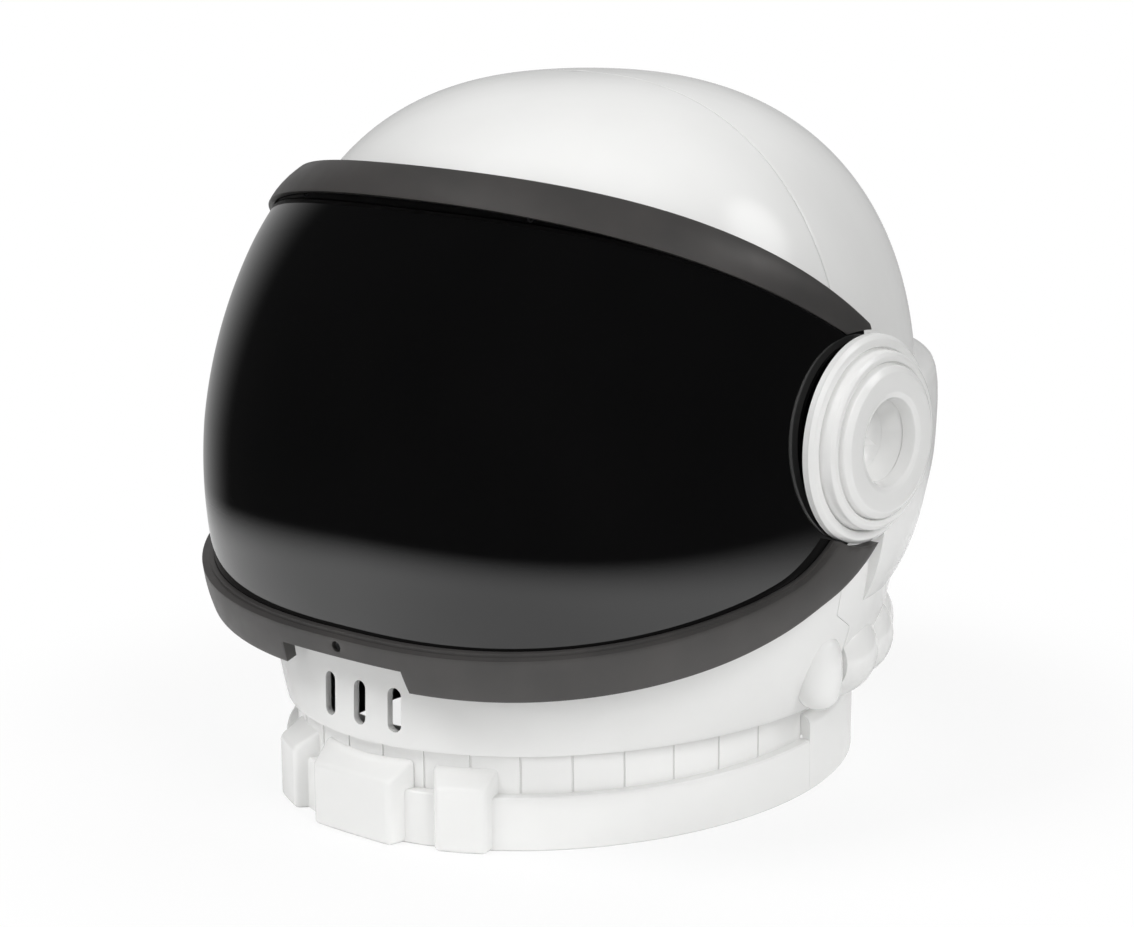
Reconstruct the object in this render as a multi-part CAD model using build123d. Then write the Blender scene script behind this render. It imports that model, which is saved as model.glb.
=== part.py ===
from build123d import *
import os
from math import acos, asin, atan2, cos, degrees, pi, radians, sin, sqrt

# Astronaut helmet: two moulded shell halves meet at a seam through the ears and stand on a
# two-part collar. A tinted visor with a brim and a chin band turns on a hub at each ear.
# +Z is up, the face looks along -Y, +X is the wearer's left. The origin is the centre of
# the helmet's plan, on the surface that the collar rests on. Millimetres.
# The sub-parts are drawn with the ear axis at Y = 0 and moved by PIVOT_Y at the end.

# Shell form
SHELL_HALF_WIDTH = 140.0
BELT_HEIGHT = 147.9
CROWN_RISE = 150.5
CROWN_EXPONENT = 2.42
FRONT_DEPTH = 130.5
REAR_DEPTH = 152.7
SHELL_WALL = 3.0
LIP_HEIGHT = 39.5
TAPER_TOP = 134.0
TAPER_DROP = 148.0
FRONT_HEIGHTS = (39.5, 69.0, 80.0, 100.0, 120.0, 147.9)
FRONT_DEPTHS = (141.2, 140.2, 140.0, 138.0, 135.0, 130.5)
REAR_HEIGHTS = (39.5, 66.0, 85.0, 93.0, 105.0, 120.0, 134.0, 147.9)
REAR_DEPTHS = (128.0, 129.5, 133.5, 138.0, 144.0, 149.5, 152.0, 152.7)
LOWER_SECTIONS = (39.5, 54.0, 69.0, 82.0, 95.0, 108.0, 121.0, 134.0, 147.9)
CROWN_TURNS = (12.0, 25.0, 38.0, 50.0, 61.0, 71.0, 79.0, 85.5)
PLATE_THICKNESS = 3.0
SEAM_SETBACK = 13.0
SEAM_STEP_TOP = 84.0
SEAM_STEP_FOOT = 76.0
SEAM_GAP = 0.1

# Ear axis and hub
EAR_HEIGHT = 160.0
EAR_BOSS_RADIUS = 33.0
EAR_BOSS_WALL = 3.0
EAR_BOSS_ROOT = 132.0
EAR_BOSS_FACE = 140.2
EAR_SPOT_FACE = 137.0
EAR_BORE_RADIUS = 22.5
HUB_RADIUS = 31.0
HUB_PLATE = 3.4
HUB_JOURNAL_RADIUS = 24.0
HUB_JOURNAL_LENGTH = 3.9
HUB_WINDOW_RADIUS = 12.0
HUB_WINDOW_DEPTH = 1.5
RUNNING_GAP = 0.06
SEAT_GAP = 0.1
WASHER_THICKNESS = 0.9
WASHER_RADIUS = 30.0
HUB_SCREW_CIRCLE = 27.0
HUB_SCREW_TURN = 45.0
KNOB_SCREW_CIRCLE = 19.0
KNOB_SCREW_TURN = 120.0
KNOB_SCREW_GRIP = 5.0

# Ear knob, from its back face outwards
KNOB_BACK = 147.6
KNOB_RADII = (42.5, 42.2, 39.6, 37.2, 36.4, 33.9, 31.6, 30.9, 30.0, 28.6, 20.4, 19.6, 17.6, 12.3)
KNOB_STEPS = (0.0, 1.6, 3.8, 3.8, 4.4, 9.6, 9.8, 10.2, 12.8, 13.5, 13.5, 12.7, 7.9, 0.0)
KNOB_POCKET_INNER = 25.0
KNOB_POCKET_OUTER = 34.0
KNOB_POCKET_DEPTH = 7.0

# Visor
LENS_RADIUS = 145.0
LENS_HALF_WIDTH = 147.2
LENS_EXPONENT = 2.7
LENS_WALL = 2.2
CHIN_OFFSET = 50.0
CHIN_TURN = 35.0
LENS_REAR_TURN = 88.0
LENS_FOOT_TURN = 240.0
EAR_DISC_RADIUS = 40.0
EAR_SHEET_REACH = 25.0
SWELL_FOOT = 34.0
KNOB_CLEARANCE_RADIUS = 43.5
BAND_SEAT = 0.15
LENS_OUTLINE = (
    (-190.0, 304.9), (8.0, 202.4), (8.0, 126.0), (-18.0, 114.5),
    (-34.0, 107.5), (-50.0, 102.0), (-66.0, 97.7), (-190.0, 67.6),
)

# Brim
BRIM_UPPER_HEIGHT = 213.0
BRIM_UPPER_SLOPE = -0.529
BRIM_LOWER_HEIGHT = 197.0
BRIM_LOWER_SLOPE = -0.504
BRIM_END = 6.0
BRIM_SHARES = (0.0, 0.14, 0.5, 0.86, 1.0)
BRIM_OUTER_GROWTH = (9.0, 7.4, 7.0, 6.6, 4.6)
BRIM_INNER_GROWTH = (5.4, 4.4, 4.0, 3.6, 2.0)
RIB_SHARES = (0.86, 1.0)
RIB_OUTER_GROWTH = 4.2
RIB_RADIUS = 143.0
RIB_HALF_WIDTH = 140.4
RIB_EXPONENT = 2.26
RIB_FORM = "rib"
RAIL_SHARES = (0.12, 0.42)
RAIL_OUTER_GROWTH = 5.4
BRIM_POINTS = 10

# Chin band
CHIN_UPPER_HEIGHT = 117.8
CHIN_UPPER_SLOPE = 0.215
CHIN_LOWER_HEIGHT = 102.7
CHIN_LOWER_SLOPE = 0.2425
CHIN_BAND_PROUD = 5.2
CHIN_EAR_UPPER = ((-58.0, 105.6), (-40.0, 111.0), (-25.0, 119.5), (-12.0, 130.0))
CHIN_EAR_LOWER = (
    (-66.0, 87.2), (-50.0, 92.0), (-34.0, 97.6), (-18.0, 103.2), (-4.0, 110.4), (6.0, 119.0),
)
NOTCH_TOP = 76.5
NOTCH_HALF_WIDTH = 33.0
NOTCH_FLARE = 4.0

# Face opening, as a side view outline
FACE_REAR = -46.0
FACE_TOP_HEIGHT = 195.0
FACE_TOP_SLOPE = -0.518
FACE_FOOT_HEIGHT = 125.0
FACE_FOOT_SLOPE = 0.215
FACE_FRONT = -170.0
FACE_CORNER = 12.0

# Vents
VENT_WIDTH = 6.5
VENT_FOOT = 45.5
VENT_TOP = 64.0
VENT_PITCH = 18.0

# Rear housing band
HOUSING_HEIGHTS = (86.0, 94.0, 106.0, 120.0, 134.0, 147.9, 159.0, 169.0, 176.5)
HOUSING_GROWTH = (0.9, 3.2, 4.8, 6.2, 8.0, 8.8, 9.2, 9.2, 1.2)
HOUSING_ROOT = 1.4
HOUSING_START = 20.0
HOUSING_KNOB_RADIUS = 45.0
HOUSING_WALL = 3.0

# Neck roll
ROLL_HEIGHT = 59.0
ROLL_RADIUS = 19.0
ROLL_END_RADIUS = 14.0
ROLL_PROUD = 8.5
ROLL_COUNT = 12
ROLL_START = 13.0
ROLL_PITCH = 14.0
ROLL_OVERLAP = 1.06
ROLL_BAND_HEIGHTS = (39.5, 54.0, 69.0, 82.0, 95.0)
LOBE_WIDTH = 20.0
LOBE_END_WIDTH = 13.0
LOBE_HEIGHT = 33.0
LOBE_ROUND = 4.0
LOBE_SETBACK = -0.5
LOBE_PROUD = 9.0

# Collar
COLLAR_HALF_WIDTH = 115.0
COLLAR_HALF_DEPTH = 136.0
COLLAR_SETBACK = 6.8
COLLAR_WALL = 4.0
LEDGE_HEIGHT = 22.5
LEDGE_THICKNESS = 3.0
LEDGE_ROUND = 1.2
NECK_INSET = 5.0
NECK_WALL = 3.0
FLANGE_INSET = 17.0
FLANGE_THICKNESS = 3.0
SHOULDER_HEIGHT = 33.0
SHOULDER_ROUND = 4.5
GROOVE_PITCH = 10.0
GROOVE_COUNT = 9
GROOVE_WIDTH = 1.2
GROOVE_DEPTH = 0.8
BLOCK_PROUD = 4.6
BLOCK_HEIGHT = 26.3
BLOCK_BACK_HEIGHT = 34.5
BLOCK_BACK_DEPTH = 13.0
BLOCK_SPREAD = 3.5
BLOCK_CHAMFER = 1.5
CENTRE_BLOCK_WIDTH = 42.6
SIDE_BLOCK_WIDTH = 21.0
SIDE_BLOCK_TURN = 24.0

# Pads
PAD_GAP = 0.3
CROWN_PAD_HALF_WIDTH = 66.0
CROWN_PAD_HALF_DEPTH = 56.0
CROWN_PAD_HALF_HEIGHT = 13.0
CROWN_PAD_DROP = 1.9
CROWN_PAD_SETBACK = 8.0
NAPE_PAD_HALF_ARC = 26.0
NAPE_PAD_THICKNESS = 18.0
NAPE_PAD_FOOT = 180.0
NAPE_PAD_TOP = 240.0
PAD_EXPONENT = 2.6
PAD_SECTIONS = 7
PAD_END_SHARE = 0.3
PAD_POINTS = 10

# Fasteners
SCREW_RADIUS = 1.4
SCREW_HEAD_RADIUS = 2.8
SCREW_HEAD_HEIGHT = 2.0
SCREW_HOLE_GAP = 0.12
HEAD_ROUND_SHARE = 0.25
HUB_SCREW_COVER = 0.55
RECESS_WIDTH = 0.9
RECESS_SPAN = 3.2
RECESS_DEPTH = 1.1
SHELL_BOSS_RADIUS = 4.5
SHELL_BOSS_LENGTH = 9.0
SHELL_BOSS_INSET = 3.6
SHELL_BOSS_TURN = 45.0
LOW_BOSS_HEIGHT = 98.0
SHELL_SCREW_BITE = 7.0
COLLAR_BOSS_RADIUS = 4.0
COLLAR_BOSS_HEIGHT = 8.0
COLLAR_SCREW_INSET = 12.5
COLLAR_SCREW_BITE = 8.5
COLLAR_SCREW_TURNS = (25.0, 65.0, 115.0, 155.0, 205.0, 245.0, 295.0, 335.0)
TRIM_SCREW_RADIUS = 1.1
TRIM_HEAD_RADIUS = 2.2
TRIM_HEAD_HEIGHT = 1.3
CHIN_SCREW_HEIGHT = 80.5
CHIN_SCREW_SINK = 1.5
BRIM_SCREW_SPREAD = 62.0
BRIM_SCREW_BITE = 3.2
BRIM_SCREW_SHARE = 0.27

JOIN_TOLERANCE = 0.01
OVERRUN = 30.0
FAR = 320.0

# Taken from the sizes above
HUB_TOP = EAR_BOSS_FACE + HUB_PLATE
DISC_BACK = LENS_HALF_WIDTH - LENS_WALL
CHIN_CENTRE_Y = CHIN_OFFSET * cos(radians(CHIN_TURN))
CHIN_CENTRE_Z = EAR_HEIGHT - CHIN_OFFSET * sin(radians(CHIN_TURN))
CHIN_JOIN_TURN = 180 - CHIN_TURN
CHIN_SWING = LENS_RADIUS + CHIN_OFFSET
CHIN_CREST = CHIN_UPPER_HEIGHT + CHIN_UPPER_SLOPE * (CHIN_CENTRE_Y - CHIN_SWING)
FRONT_REACH = sqrt((CHIN_SWING + CHIN_BAND_PROUD) ** 2 - (CHIN_CENTRE_Z - CHIN_CREST) ** 2) - CHIN_CENTRE_Y
REAR_REACH = REAR_DEPTH + max(HOUSING_GROWTH)
PIVOT_Y = (FRONT_REACH - REAR_REACH) / 2


def between(value, places, sizes):
    """Straight-line interpolation in a table of sizes."""
    if value <= places[0]:
        return sizes[0]
    for k in range(1, len(places)):
        if value <= places[k]:
            share = (value - places[k - 1]) / (places[k] - places[k - 1])
            return sizes[k - 1] + (sizes[k] - sizes[k - 1]) * share
    return sizes[-1]


def crown_share(height):
    """How wide the crown still is at a height above the belt, as a share of the belt."""
    rise = min(max(height - BELT_HEIGHT, 0) / CROWN_RISE, 1)
    return (1 - rise**CROWN_EXPONENT) ** (1 / CROWN_EXPONENT)


def half_width(z):
    fall = max(TAPER_TOP - z, 0) / TAPER_DROP
    return SHELL_HALF_WIDTH * (1 - fall**CROWN_EXPONENT) ** (1 / CROWN_EXPONENT) * crown_share(z)


def depth(z, side):
    if side < 0:
        return between(z, FRONT_HEIGHTS, FRONT_DEPTHS) * crown_share(z)
    return between(z, REAR_HEIGHTS, REAR_DEPTHS) * crown_share(z)


def join(first, *others):
    return first.fuse(*others, tol=JOIN_TOLERANCE)


def side_prism(points, rounding=0.0):
    """A prism right across the helmet from an outline in the side view."""
    outline = Polyline(*[Vector(0, y, z) for y, z in points], close=True)
    face = make_face(outline)
    if rounding:
        face = face.face().fillet_2d(rounding, face.vertices())
    return extrude(face, amount=FAR, dir=(1, 0, 0), both=True)


def slab(x0, x1, y0, y1, z0, z1):
    size = (x1 - x0, y1 - y0, z1 - z0)
    return Pos((x0 + x1) / 2, (y0 + y1) / 2, (z0 + z1) / 2) * Box(*size)


def across(radius, x0, x1, y=0.0, z=EAR_HEIGHT):
    """A cylinder along X."""
    return Pos(x0, y, z) * Rot(0, 90, 0) * extrude(Circle(radius), amount=x1 - x0)


def both_sides(part):
    return part, mirror(part, about=Plane.YZ)


def ring_spots(radius, count_turn, start_turn=0.0):
    """Places round the ear axis, as (y, z), one every count_turn degrees."""
    spots = []
    turn = start_turn
    while turn < start_turn + 360:
        spots.append((radius * cos(radians(turn)), EAR_HEIGHT + radius * sin(radians(turn))))
        turn += count_turn
    return spots


def screw(length, radius=SCREW_RADIUS, head=SCREW_HEAD_RADIUS, height=SCREW_HEAD_HEIGHT):
    """A screw along +Z with the head's seat at Z = 0 and a cross recess underneath."""
    shank = extrude(Circle(radius), amount=length)
    cap = Pos(0, 0, -height) * extrude(Circle(head), amount=height)
    cap = fillet(cap.edges().group_by(Axis.Z)[0], HEAD_ROUND_SHARE * height)
    slot = Pos(0, 0, -height) * Box(RECESS_SPAN, RECESS_WIDTH, RECESS_DEPTH)
    return shank + cap - slot - Rot(0, 0, 90) * slot


# Shell


def form_section(z, inset):
    """The plan of the helmet's form at a height, drawn in by inset, as a front and a rear arc."""
    arcs = []
    for side in (1, -1):
        width, reach = half_width(z) - inset, depth(z, side) - inset
        if z > BELT_HEIGHT:
            rise = (z - BELT_HEIGHT) / (CROWN_RISE - inset)
            share = (1 - rise**CROWN_EXPONENT) ** (1 / CROWN_EXPONENT)
            width = (SHELL_HALF_WIDTH - inset) * share
            reach = (depth(BELT_HEIGHT, side) - inset) * share
        start = 0 if side > 0 else 180
        arcs.append(EllipticalCenterArc((0, 0, z), width, reach, start_angle=start, arc_size=180))
    return make_face(arcs)


def whole_form(inset, foot):
    """The helmet's solid form, from a foot height to the top of the crown."""
    heights = [foot] + [z for z in LOWER_SECTIONS if z > foot + SHELL_WALL]
    rise = CROWN_RISE - inset
    for turn in CROWN_TURNS:
        heights.append(BELT_HEIGHT + rise * sin(radians(turn)) ** (2 / CROWN_EXPONENT))
    return loft([form_section(z, inset) for z in heights] + [Vertex(0, 0, BELT_HEIGHT + rise)])


def half_section(side, z, outer, inner, past=0.0):
    """One half of the shell's plan at a height, between two offsets of its outside.

    The ends can run past the widest line by a distance along Y.
    """
    start = 0 if side > 0 else 180
    edges = []
    for grow in (outer, inner):
        size = (half_width(z) + grow, depth(z, side) + grow)
        more = degrees(asin(past / size[1]))
        first, sweep = start - more, 180 + 2 * more
        edges.append(EllipticalCenterArc((0, 0, z), *size, start_angle=first, arc_size=sweep))
    out, back = edges
    return make_face([out, Line(out @ 1, back @ 1), back, Line(back @ 0, out @ 0)])


def front_side(gap):
    """What lies in front of the seam, which steps back below the ears, as a side prism."""
    back, foot, top = SEAM_SETBACK + gap, SEAM_STEP_FOOT + gap, SEAM_STEP_TOP + gap
    points = ((-FAR, -OVERRUN), (back, -OVERRUN), (back, foot), (gap, top), (gap, FAR), (-FAR, FAR))
    return side_prism(points)


def face_prism():
    """The face opening as a prism, with the corners rounded in the side view."""
    def top(y):
        return FACE_TOP_HEIGHT + FACE_TOP_SLOPE * y

    def foot(y):
        return FACE_FOOT_HEIGHT + FACE_FOOT_SLOPE * y

    points = (
        (FACE_REAR, top(FACE_REAR)),
        (FACE_REAR, foot(FACE_REAR)),
        (FACE_FRONT, foot(FACE_FRONT)),
        (FACE_FRONT, top(FACE_FRONT)),
    )
    return side_prism(points, FACE_CORNER)


def neck_oval(inset, z0, z1):
    """An upright oval solid on the collar's plan, drawn in by inset."""
    oval = Ellipse(COLLAR_HALF_WIDTH - inset, COLLAR_HALF_DEPTH - inset)
    return Pos(0, -COLLAR_SETBACK, z0) * extrude(oval, amount=z1 - z0)


def collar_spots(side):
    """Collar screw places (x, y) on one side of the seam."""
    spots = []
    for turn in COLLAR_SCREW_TURNS:
        x = (COLLAR_HALF_WIDTH - COLLAR_SCREW_INSET) * cos(radians(turn))
        y = (COLLAR_HALF_DEPTH - COLLAR_SCREW_INSET) * sin(radians(turn)) - COLLAR_SETBACK
        if (y > SEAM_SETBACK) == (side > 0):
            spots.append((x, y))
    return spots


def upright(radius, x, y, z0, z1):
    return Pos(x, y, z0) * extrude(Circle(radius), amount=z1 - z0)


def along_y(radius, x, z, y0, y1):
    return Pos(x, y0, z) * Rot(-90, 0, 0) * extrude(Circle(radius), amount=y1 - y0)


def seam_spots():
    """Where the shell halves are screwed together, as (x, z), on both sides."""
    turn = radians(SHELL_BOSS_TURN)
    reach = abs(cos(turn)) ** (2 / CROWN_EXPONENT)
    drop = SHELL_BOSS_INSET * cos(turn)
    high = (
        (SHELL_HALF_WIDTH - SHELL_WALL) * reach - drop,
        BELT_HEIGHT + (CROWN_RISE - SHELL_WALL) * reach - drop,
    )
    low = (half_width(LOW_BOSS_HEIGHT) - SHELL_WALL - SHELL_BOSS_INSET, LOW_BOSS_HEIGHT)
    return [(sign * x, z) for x, z in (high, low) for sign in (1, -1)]


def shell_half(side):
    """One moulded half with its ear boss and floor; the rear one carries the neck roll."""
    form = whole_form(0, LIP_HEIGHT)
    if side > 0:
        form = join(form, neck_roll())
    shell = form - whole_form(SHELL_WALL, LIP_HEIGHT + PLATE_THICKNESS)
    shell = shell - neck_oval(FLANGE_INSET, 0, LIP_HEIGHT + 2 * PLATE_THICKNESS)
    if side > 0:
        shell = shell - front_side(SEAM_GAP / 2)
    else:
        shell = shell & front_side(-SEAM_GAP / 2)
    reach = FAR * side
    inner = side * SEAM_GAP / 2
    keep = slab(-FAR, FAR, min(inner, reach), max(inner, reach), 0, FAR)
    cups = []
    for cup in both_sides(across(EAR_BOSS_RADIUS, EAR_BOSS_ROOT, EAR_BOSS_FACE)):
        cups.append(cup & keep)
    shell = join(shell, *cups)
    pocket = across(EAR_BOSS_RADIUS - EAR_BOSS_WALL, SHELL_HALF_WIDTH - OVERRUN, EAR_SPOT_FACE)
    bore = across(EAR_BORE_RADIUS, SHELL_HALF_WIDTH - OVERRUN, SHELL_HALF_WIDTH + OVERRUN)
    tools = list(both_sides(pocket)) + list(both_sides(bore))
    for y, z in ring_spots(HUB_SCREW_CIRCLE, 90, HUB_SCREW_TURN):
        hole = across(SCREW_RADIUS + SCREW_HOLE_GAP, EAR_BOSS_ROOT, EAR_BOSS_FACE + OVERRUN, y, z)
        tools += both_sides(hole)
    return shell.cut(*tools)


def shell_fittings(side):
    """The screw bosses of one half, each to be joined to the wall or the floor."""
    parts = []
    for x, y in collar_spots(side):
        top = LIP_HEIGHT + PLATE_THICKNESS + COLLAR_BOSS_HEIGHT
        parts.append(upright(COLLAR_BOSS_RADIUS, x, y, LIP_HEIGHT, top))
    for x, z in seam_spots():
        ends = sorted((side * SEAM_GAP / 2, side * SHELL_BOSS_LENGTH))
        if side > 0:
            drill = (-OVERRUN, OVERRUN)
        else:
            drill = (-SHELL_SCREW_BITE - SEAM_GAP, OVERRUN)
        boss = along_y(SHELL_BOSS_RADIUS, x, z, *ends)
        parts.append(boss - along_y(SCREW_RADIUS + SCREW_HOLE_GAP, x, z, *drill))
    return parts


def floor_holes(side):
    """Holes for the collar screws, up through the floor into its bosses."""
    top = LIP_HEIGHT + COLLAR_SCREW_BITE
    return [upright(SCREW_RADIUS + SCREW_HOLE_GAP, x, y, 0, top) for x, y in collar_spots(side)]


def barrel(radius, end_radius, length):
    """A barrel with its axis along X, centred on the origin."""
    rim = ThreePointArc((-length / 2, end_radius), (0, radius), (length / 2, end_radius))
    start, end = (-length / 2, 0), (length / 2, 0)
    sides = [Line(rim @ 0, start), Line(start, end), Line(end, rim @ 1)]
    return revolve(make_face([rim] + sides), axis=Axis.X)


def wall_spot(turn, z):
    """A place on the outside of the shell at a turn from +X, and the way it faces."""
    side = 1 if sin(radians(turn)) >= 0 else -1
    width, reach = half_width(z), depth(z, side)
    x, y = width * cos(radians(turn)), reach * sin(radians(turn))
    facing = degrees(atan2(y / reach**2, x / width**2))
    return x, y, facing


def lump(turn, length, radius, end_radius, proud, y_shift=0.0):
    x, y, facing = wall_spot(turn, ROLL_HEIGHT)
    form = Rot(0, 0, facing - 90) * Pos(0, proud - radius, 0) * barrel(radius, end_radius, length)
    return Pos(x, y + y_shift, ROLL_HEIGHT) * form


def lobe_backing():
    """A thick band from the middle of the front wall outwards, to trim the end lobes."""
    sections = []
    for z in ROLL_BAND_HEIGHTS:
        sections.append(half_section(-1, z, OVERRUN, -SHELL_WALL / 2, SEAM_SETBACK))
    return loft(sections)


def neck_roll():
    """The soft-looking roll of barrel lumps round the back of the neck."""
    width, reach = half_width(ROLL_HEIGHT), depth(ROLL_HEIGHT, 1)
    lumps = []
    for k in range(ROLL_COUNT):
        turn = radians(ROLL_START + ROLL_PITCH * k)
        start, end = turn - radians(ROLL_PITCH) / 2, turn + radians(ROLL_PITCH) / 2
        span = sqrt((width * (cos(start) - cos(end))) ** 2 + (reach * (sin(start) - sin(end))) ** 2)
        lumps.append(lump(degrees(turn), span * ROLL_OVERLAP, ROLL_RADIUS, ROLL_END_RADIUS, ROLL_PROUD))
    return join(lumps[0], *lumps[1:])


def housing():
    """The raised band round the back, as a solid form to be hollowed."""
    sections = []
    for z, grow in zip(HOUSING_HEIGHTS, HOUSING_GROWTH):
        sections.append(half_section(1, z, grow, -HOUSING_ROOT))
    band = loft(sections, ruled=True)
    front = slab(-FAR, FAR, -FAR, HOUSING_START, 0, FAR)
    return band - front - across(HOUSING_KNOB_RADIUS, -FAR, FAR)


def housing_hollow():
    """The space inside the raised band, opening the wall behind it to the helmet."""
    sections = []
    for z, grow in zip(HOUSING_HEIGHTS[1:-1], HOUSING_GROWTH[1:-1]):
        sections.append(half_section(1, z, grow - HOUSING_WALL, -HOUSING_WALL - HOUSING_ROOT))
    space = loft(sections, ruled=True)
    front = slab(-FAR, FAR, -FAR, HOUSING_START + HOUSING_WALL, 0, FAR)
    return space - front - across(HOUSING_KNOB_RADIUS + HOUSING_WALL, -FAR, FAR)


def end_lobes():
    """The upright lobe at each end of the neck roll, on the front half."""
    form = barrel(LOBE_WIDTH / 2, LOBE_END_WIDTH / 2, LOBE_HEIGHT)
    form = fillet(form.edges().filter_by(GeomType.CIRCLE), LOBE_ROUND)
    x = half_width(ROLL_HEIGHT) + LOBE_PROUD - LOBE_WIDTH / 2
    lobe = Pos(x, LOBE_SETBACK, ROLL_HEIGHT) * Rot(0, 90, 0) * form
    return [one & lobe_backing() for one in both_sides(lobe)]


def build_front_shell():
    shell = shell_half(-1) - face_prism()
    shell = join(shell, *shell_fittings(-1), *end_lobes())
    vents = []
    for k in (-1, 0, 1):
        slot = SlotOverall(VENT_TOP - VENT_FOOT, VENT_WIDTH)
        spot = Pos(k * VENT_PITCH, -FRONT_DEPTH / 2, (VENT_TOP + VENT_FOOT) / 2)
        vents.append(spot * Rot(90, 0, 0) * Rot(0, 0, 90) * extrude(slot, amount=FAR))
    return shell.cut(*floor_holes(-1), *vents)


def build_rear_shell():
    shell = join(shell_half(1), *shell_fittings(1))
    shell = shell.cut(*floor_holes(1))
    return join(shell, housing()) - housing_hollow()


# Collar


def collar_ring():
    """The whole ring under the helmet, with its ledge, as one oval form."""
    foot = neck_oval(0, 0, LEDGE_HEIGHT)
    foot = fillet(foot.edges().group_by(Axis.Z)[-1], LEDGE_ROUND)
    return foot + neck_oval(NECK_INSET, 0, LIP_HEIGHT - SEAM_GAP)


def collar_hollow():
    low = neck_oval(COLLAR_WALL, -OVERRUN, LEDGE_HEIGHT - LEDGE_THICKNESS)
    high = neck_oval(NECK_INSET + NECK_WALL, -OVERRUN, LIP_HEIGHT - SEAM_GAP - FLANGE_THICKNESS)
    return low + high + neck_oval(FLANGE_INSET, -OVERRUN, FAR)


def upright_rectangle(width, height, y):
    half = width / 2
    corners = ((-half, 0), (half, 0), (half, height), (-half, height))
    return make_face(Polyline(*[Vector(x, y, z) for x, z in corners], close=True))


def collar_block(width, turn):
    """A raised block on the front of the ring, its top falling from the neck wall."""
    front = upright_rectangle(width, BLOCK_HEIGHT, 0)
    back = upright_rectangle(width + 2 * BLOCK_SPREAD, BLOCK_BACK_HEIGHT, BLOCK_BACK_DEPTH)
    block = loft([front, back], ruled=True)
    block = chamfer(block.edges().group_by(Axis.Y)[0].filter_by(Axis.Z), BLOCK_CHAMFER)
    x = COLLAR_HALF_WIDTH * sin(radians(turn))
    y = -COLLAR_HALF_DEPTH * cos(radians(turn))
    facing = degrees(atan2(x / COLLAR_HALF_WIDTH**2, -y / COLLAR_HALF_DEPTH**2))
    block = Rot(0, 0, facing) * Pos(0, -BLOCK_PROUD, 0) * block
    return Pos(x, y - COLLAR_SETBACK, 0) * block


def neck_grooves():
    """Upright grooves round the front of the neck wall."""
    cuts = []
    for k in range(GROOVE_COUNT):
        for sign in (1, -1):
            turn = radians(GROOVE_PITCH * (k + 1 / 2))
            x = sign * (COLLAR_HALF_WIDTH - NECK_INSET) * sin(turn)
            y = -(COLLAR_HALF_DEPTH - NECK_INSET) * cos(turn) - COLLAR_SETBACK
            cut = Box(GROOVE_WIDTH, 2 * GROOVE_DEPTH, FAR)
            cuts.append(Pos(x, y, LEDGE_HEIGHT + FAR / 2) * Rot(0, 0, degrees(sign * turn)) * cut)
    return cuts


def collar_screw_holes(side):
    radius = SCREW_RADIUS + SCREW_HOLE_GAP
    return [upright(radius, x, y, 0, FAR) for x, y in collar_spots(side)]


def build_front_collar():
    ring = collar_ring()
    blocks = [collar_block(CENTRE_BLOCK_WIDTH, 0)]
    for sign in (1, -1):
        blocks.append(collar_block(SIDE_BLOCK_WIDTH, sign * SIDE_BLOCK_TURN))
    ring = (ring - neck_grooves()) + blocks - collar_hollow()
    ring = ring - slab(-FAR, FAR, SEAM_SETBACK - SEAM_GAP / 2, FAR, -FAR, FAR)
    return ring - collar_screw_holes(-1)


def build_rear_collar():
    """The rear of the ring stands up straight to a rounded shoulder."""
    foot = neck_oval(0, 0, SHOULDER_HEIGHT)
    foot = fillet(foot.edges().group_by(Axis.Z)[-1], SHOULDER_ROUND)
    ring = foot + neck_oval(NECK_INSET, 0, LIP_HEIGHT - SEAM_GAP)
    shoulder = neck_oval(COLLAR_WALL, -OVERRUN, SHOULDER_HEIGHT - 2 * SHOULDER_ROUND)
    ring = ring - collar_hollow() - shoulder
    ring = ring - slab(-FAR, FAR, -FAR, SEAM_SETBACK + SEAM_GAP / 2, -FAR, FAR)
    return ring - collar_screw_holes(1)


# Visor


def swell_edge(grow, past, foot):
    """The visor's outline over the face, as an edge in (X, distance from the axis)."""
    radius, half = LENS_RADIUS + grow, LENS_HALF_WIDTH + grow
    power = 2 / LENS_EXPONENT
    first = asin((foot / radius) ** (1 / power))
    points = []
    for k in range(2 * BRIM_POINTS + 1):
        turn = first + (pi - 2 * first) * k / (2 * BRIM_POINTS)
        along = abs(cos(turn)) ** power * (1 if turn < pi / 2 else -1)
        points.append(Vector(half * along, past + radius * sin(turn) ** power, 0))
    return Spline(*points)


def swell_turn(outer, inner, centre_y, centre_z, past, start, end, foot):
    """A wall between two offsets of the visor form, turned about a line along X."""
    out, back = swell_edge(outer, past, foot), swell_edge(inner, past, foot)
    if past:
        half, depth_in = LENS_HALF_WIDTH + outer, LENS_HALF_WIDTH + inner
        bend = past + WASHER_RADIUS
        flat = ((half, bend), (half, EAR_SHEET_REACH), (depth_in, EAR_SHEET_REACH), (depth_in, bend))
        right = Polyline(out @ 0, *flat, back @ 0)
        left = Polyline(out @ 1, *[(-x, y) for x, y in flat], back @ 1)
    else:
        right, left = Line(out @ 0, back @ 0), Line(out @ 1, back @ 1)
    strip = make_face([out, right, back, left])
    outward = Vector(0, cos(radians(start)), sin(radians(start)))
    plane = Plane(origin=(0, centre_y, centre_z), x_dir=(1, 0, 0), z_dir=Vector(1, 0, 0).cross(outward))
    axis = Axis((0, centre_y, centre_z), (1, 0, 0))
    return revolve(plane * strip, axis=axis, revolution_arc=end - start)


def upper_swell(outer, inner):
    return swell_turn(outer, inner, 0, EAR_HEIGHT, 0, LENS_REAR_TURN, CHIN_JOIN_TURN, SWELL_FOOT)


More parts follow.
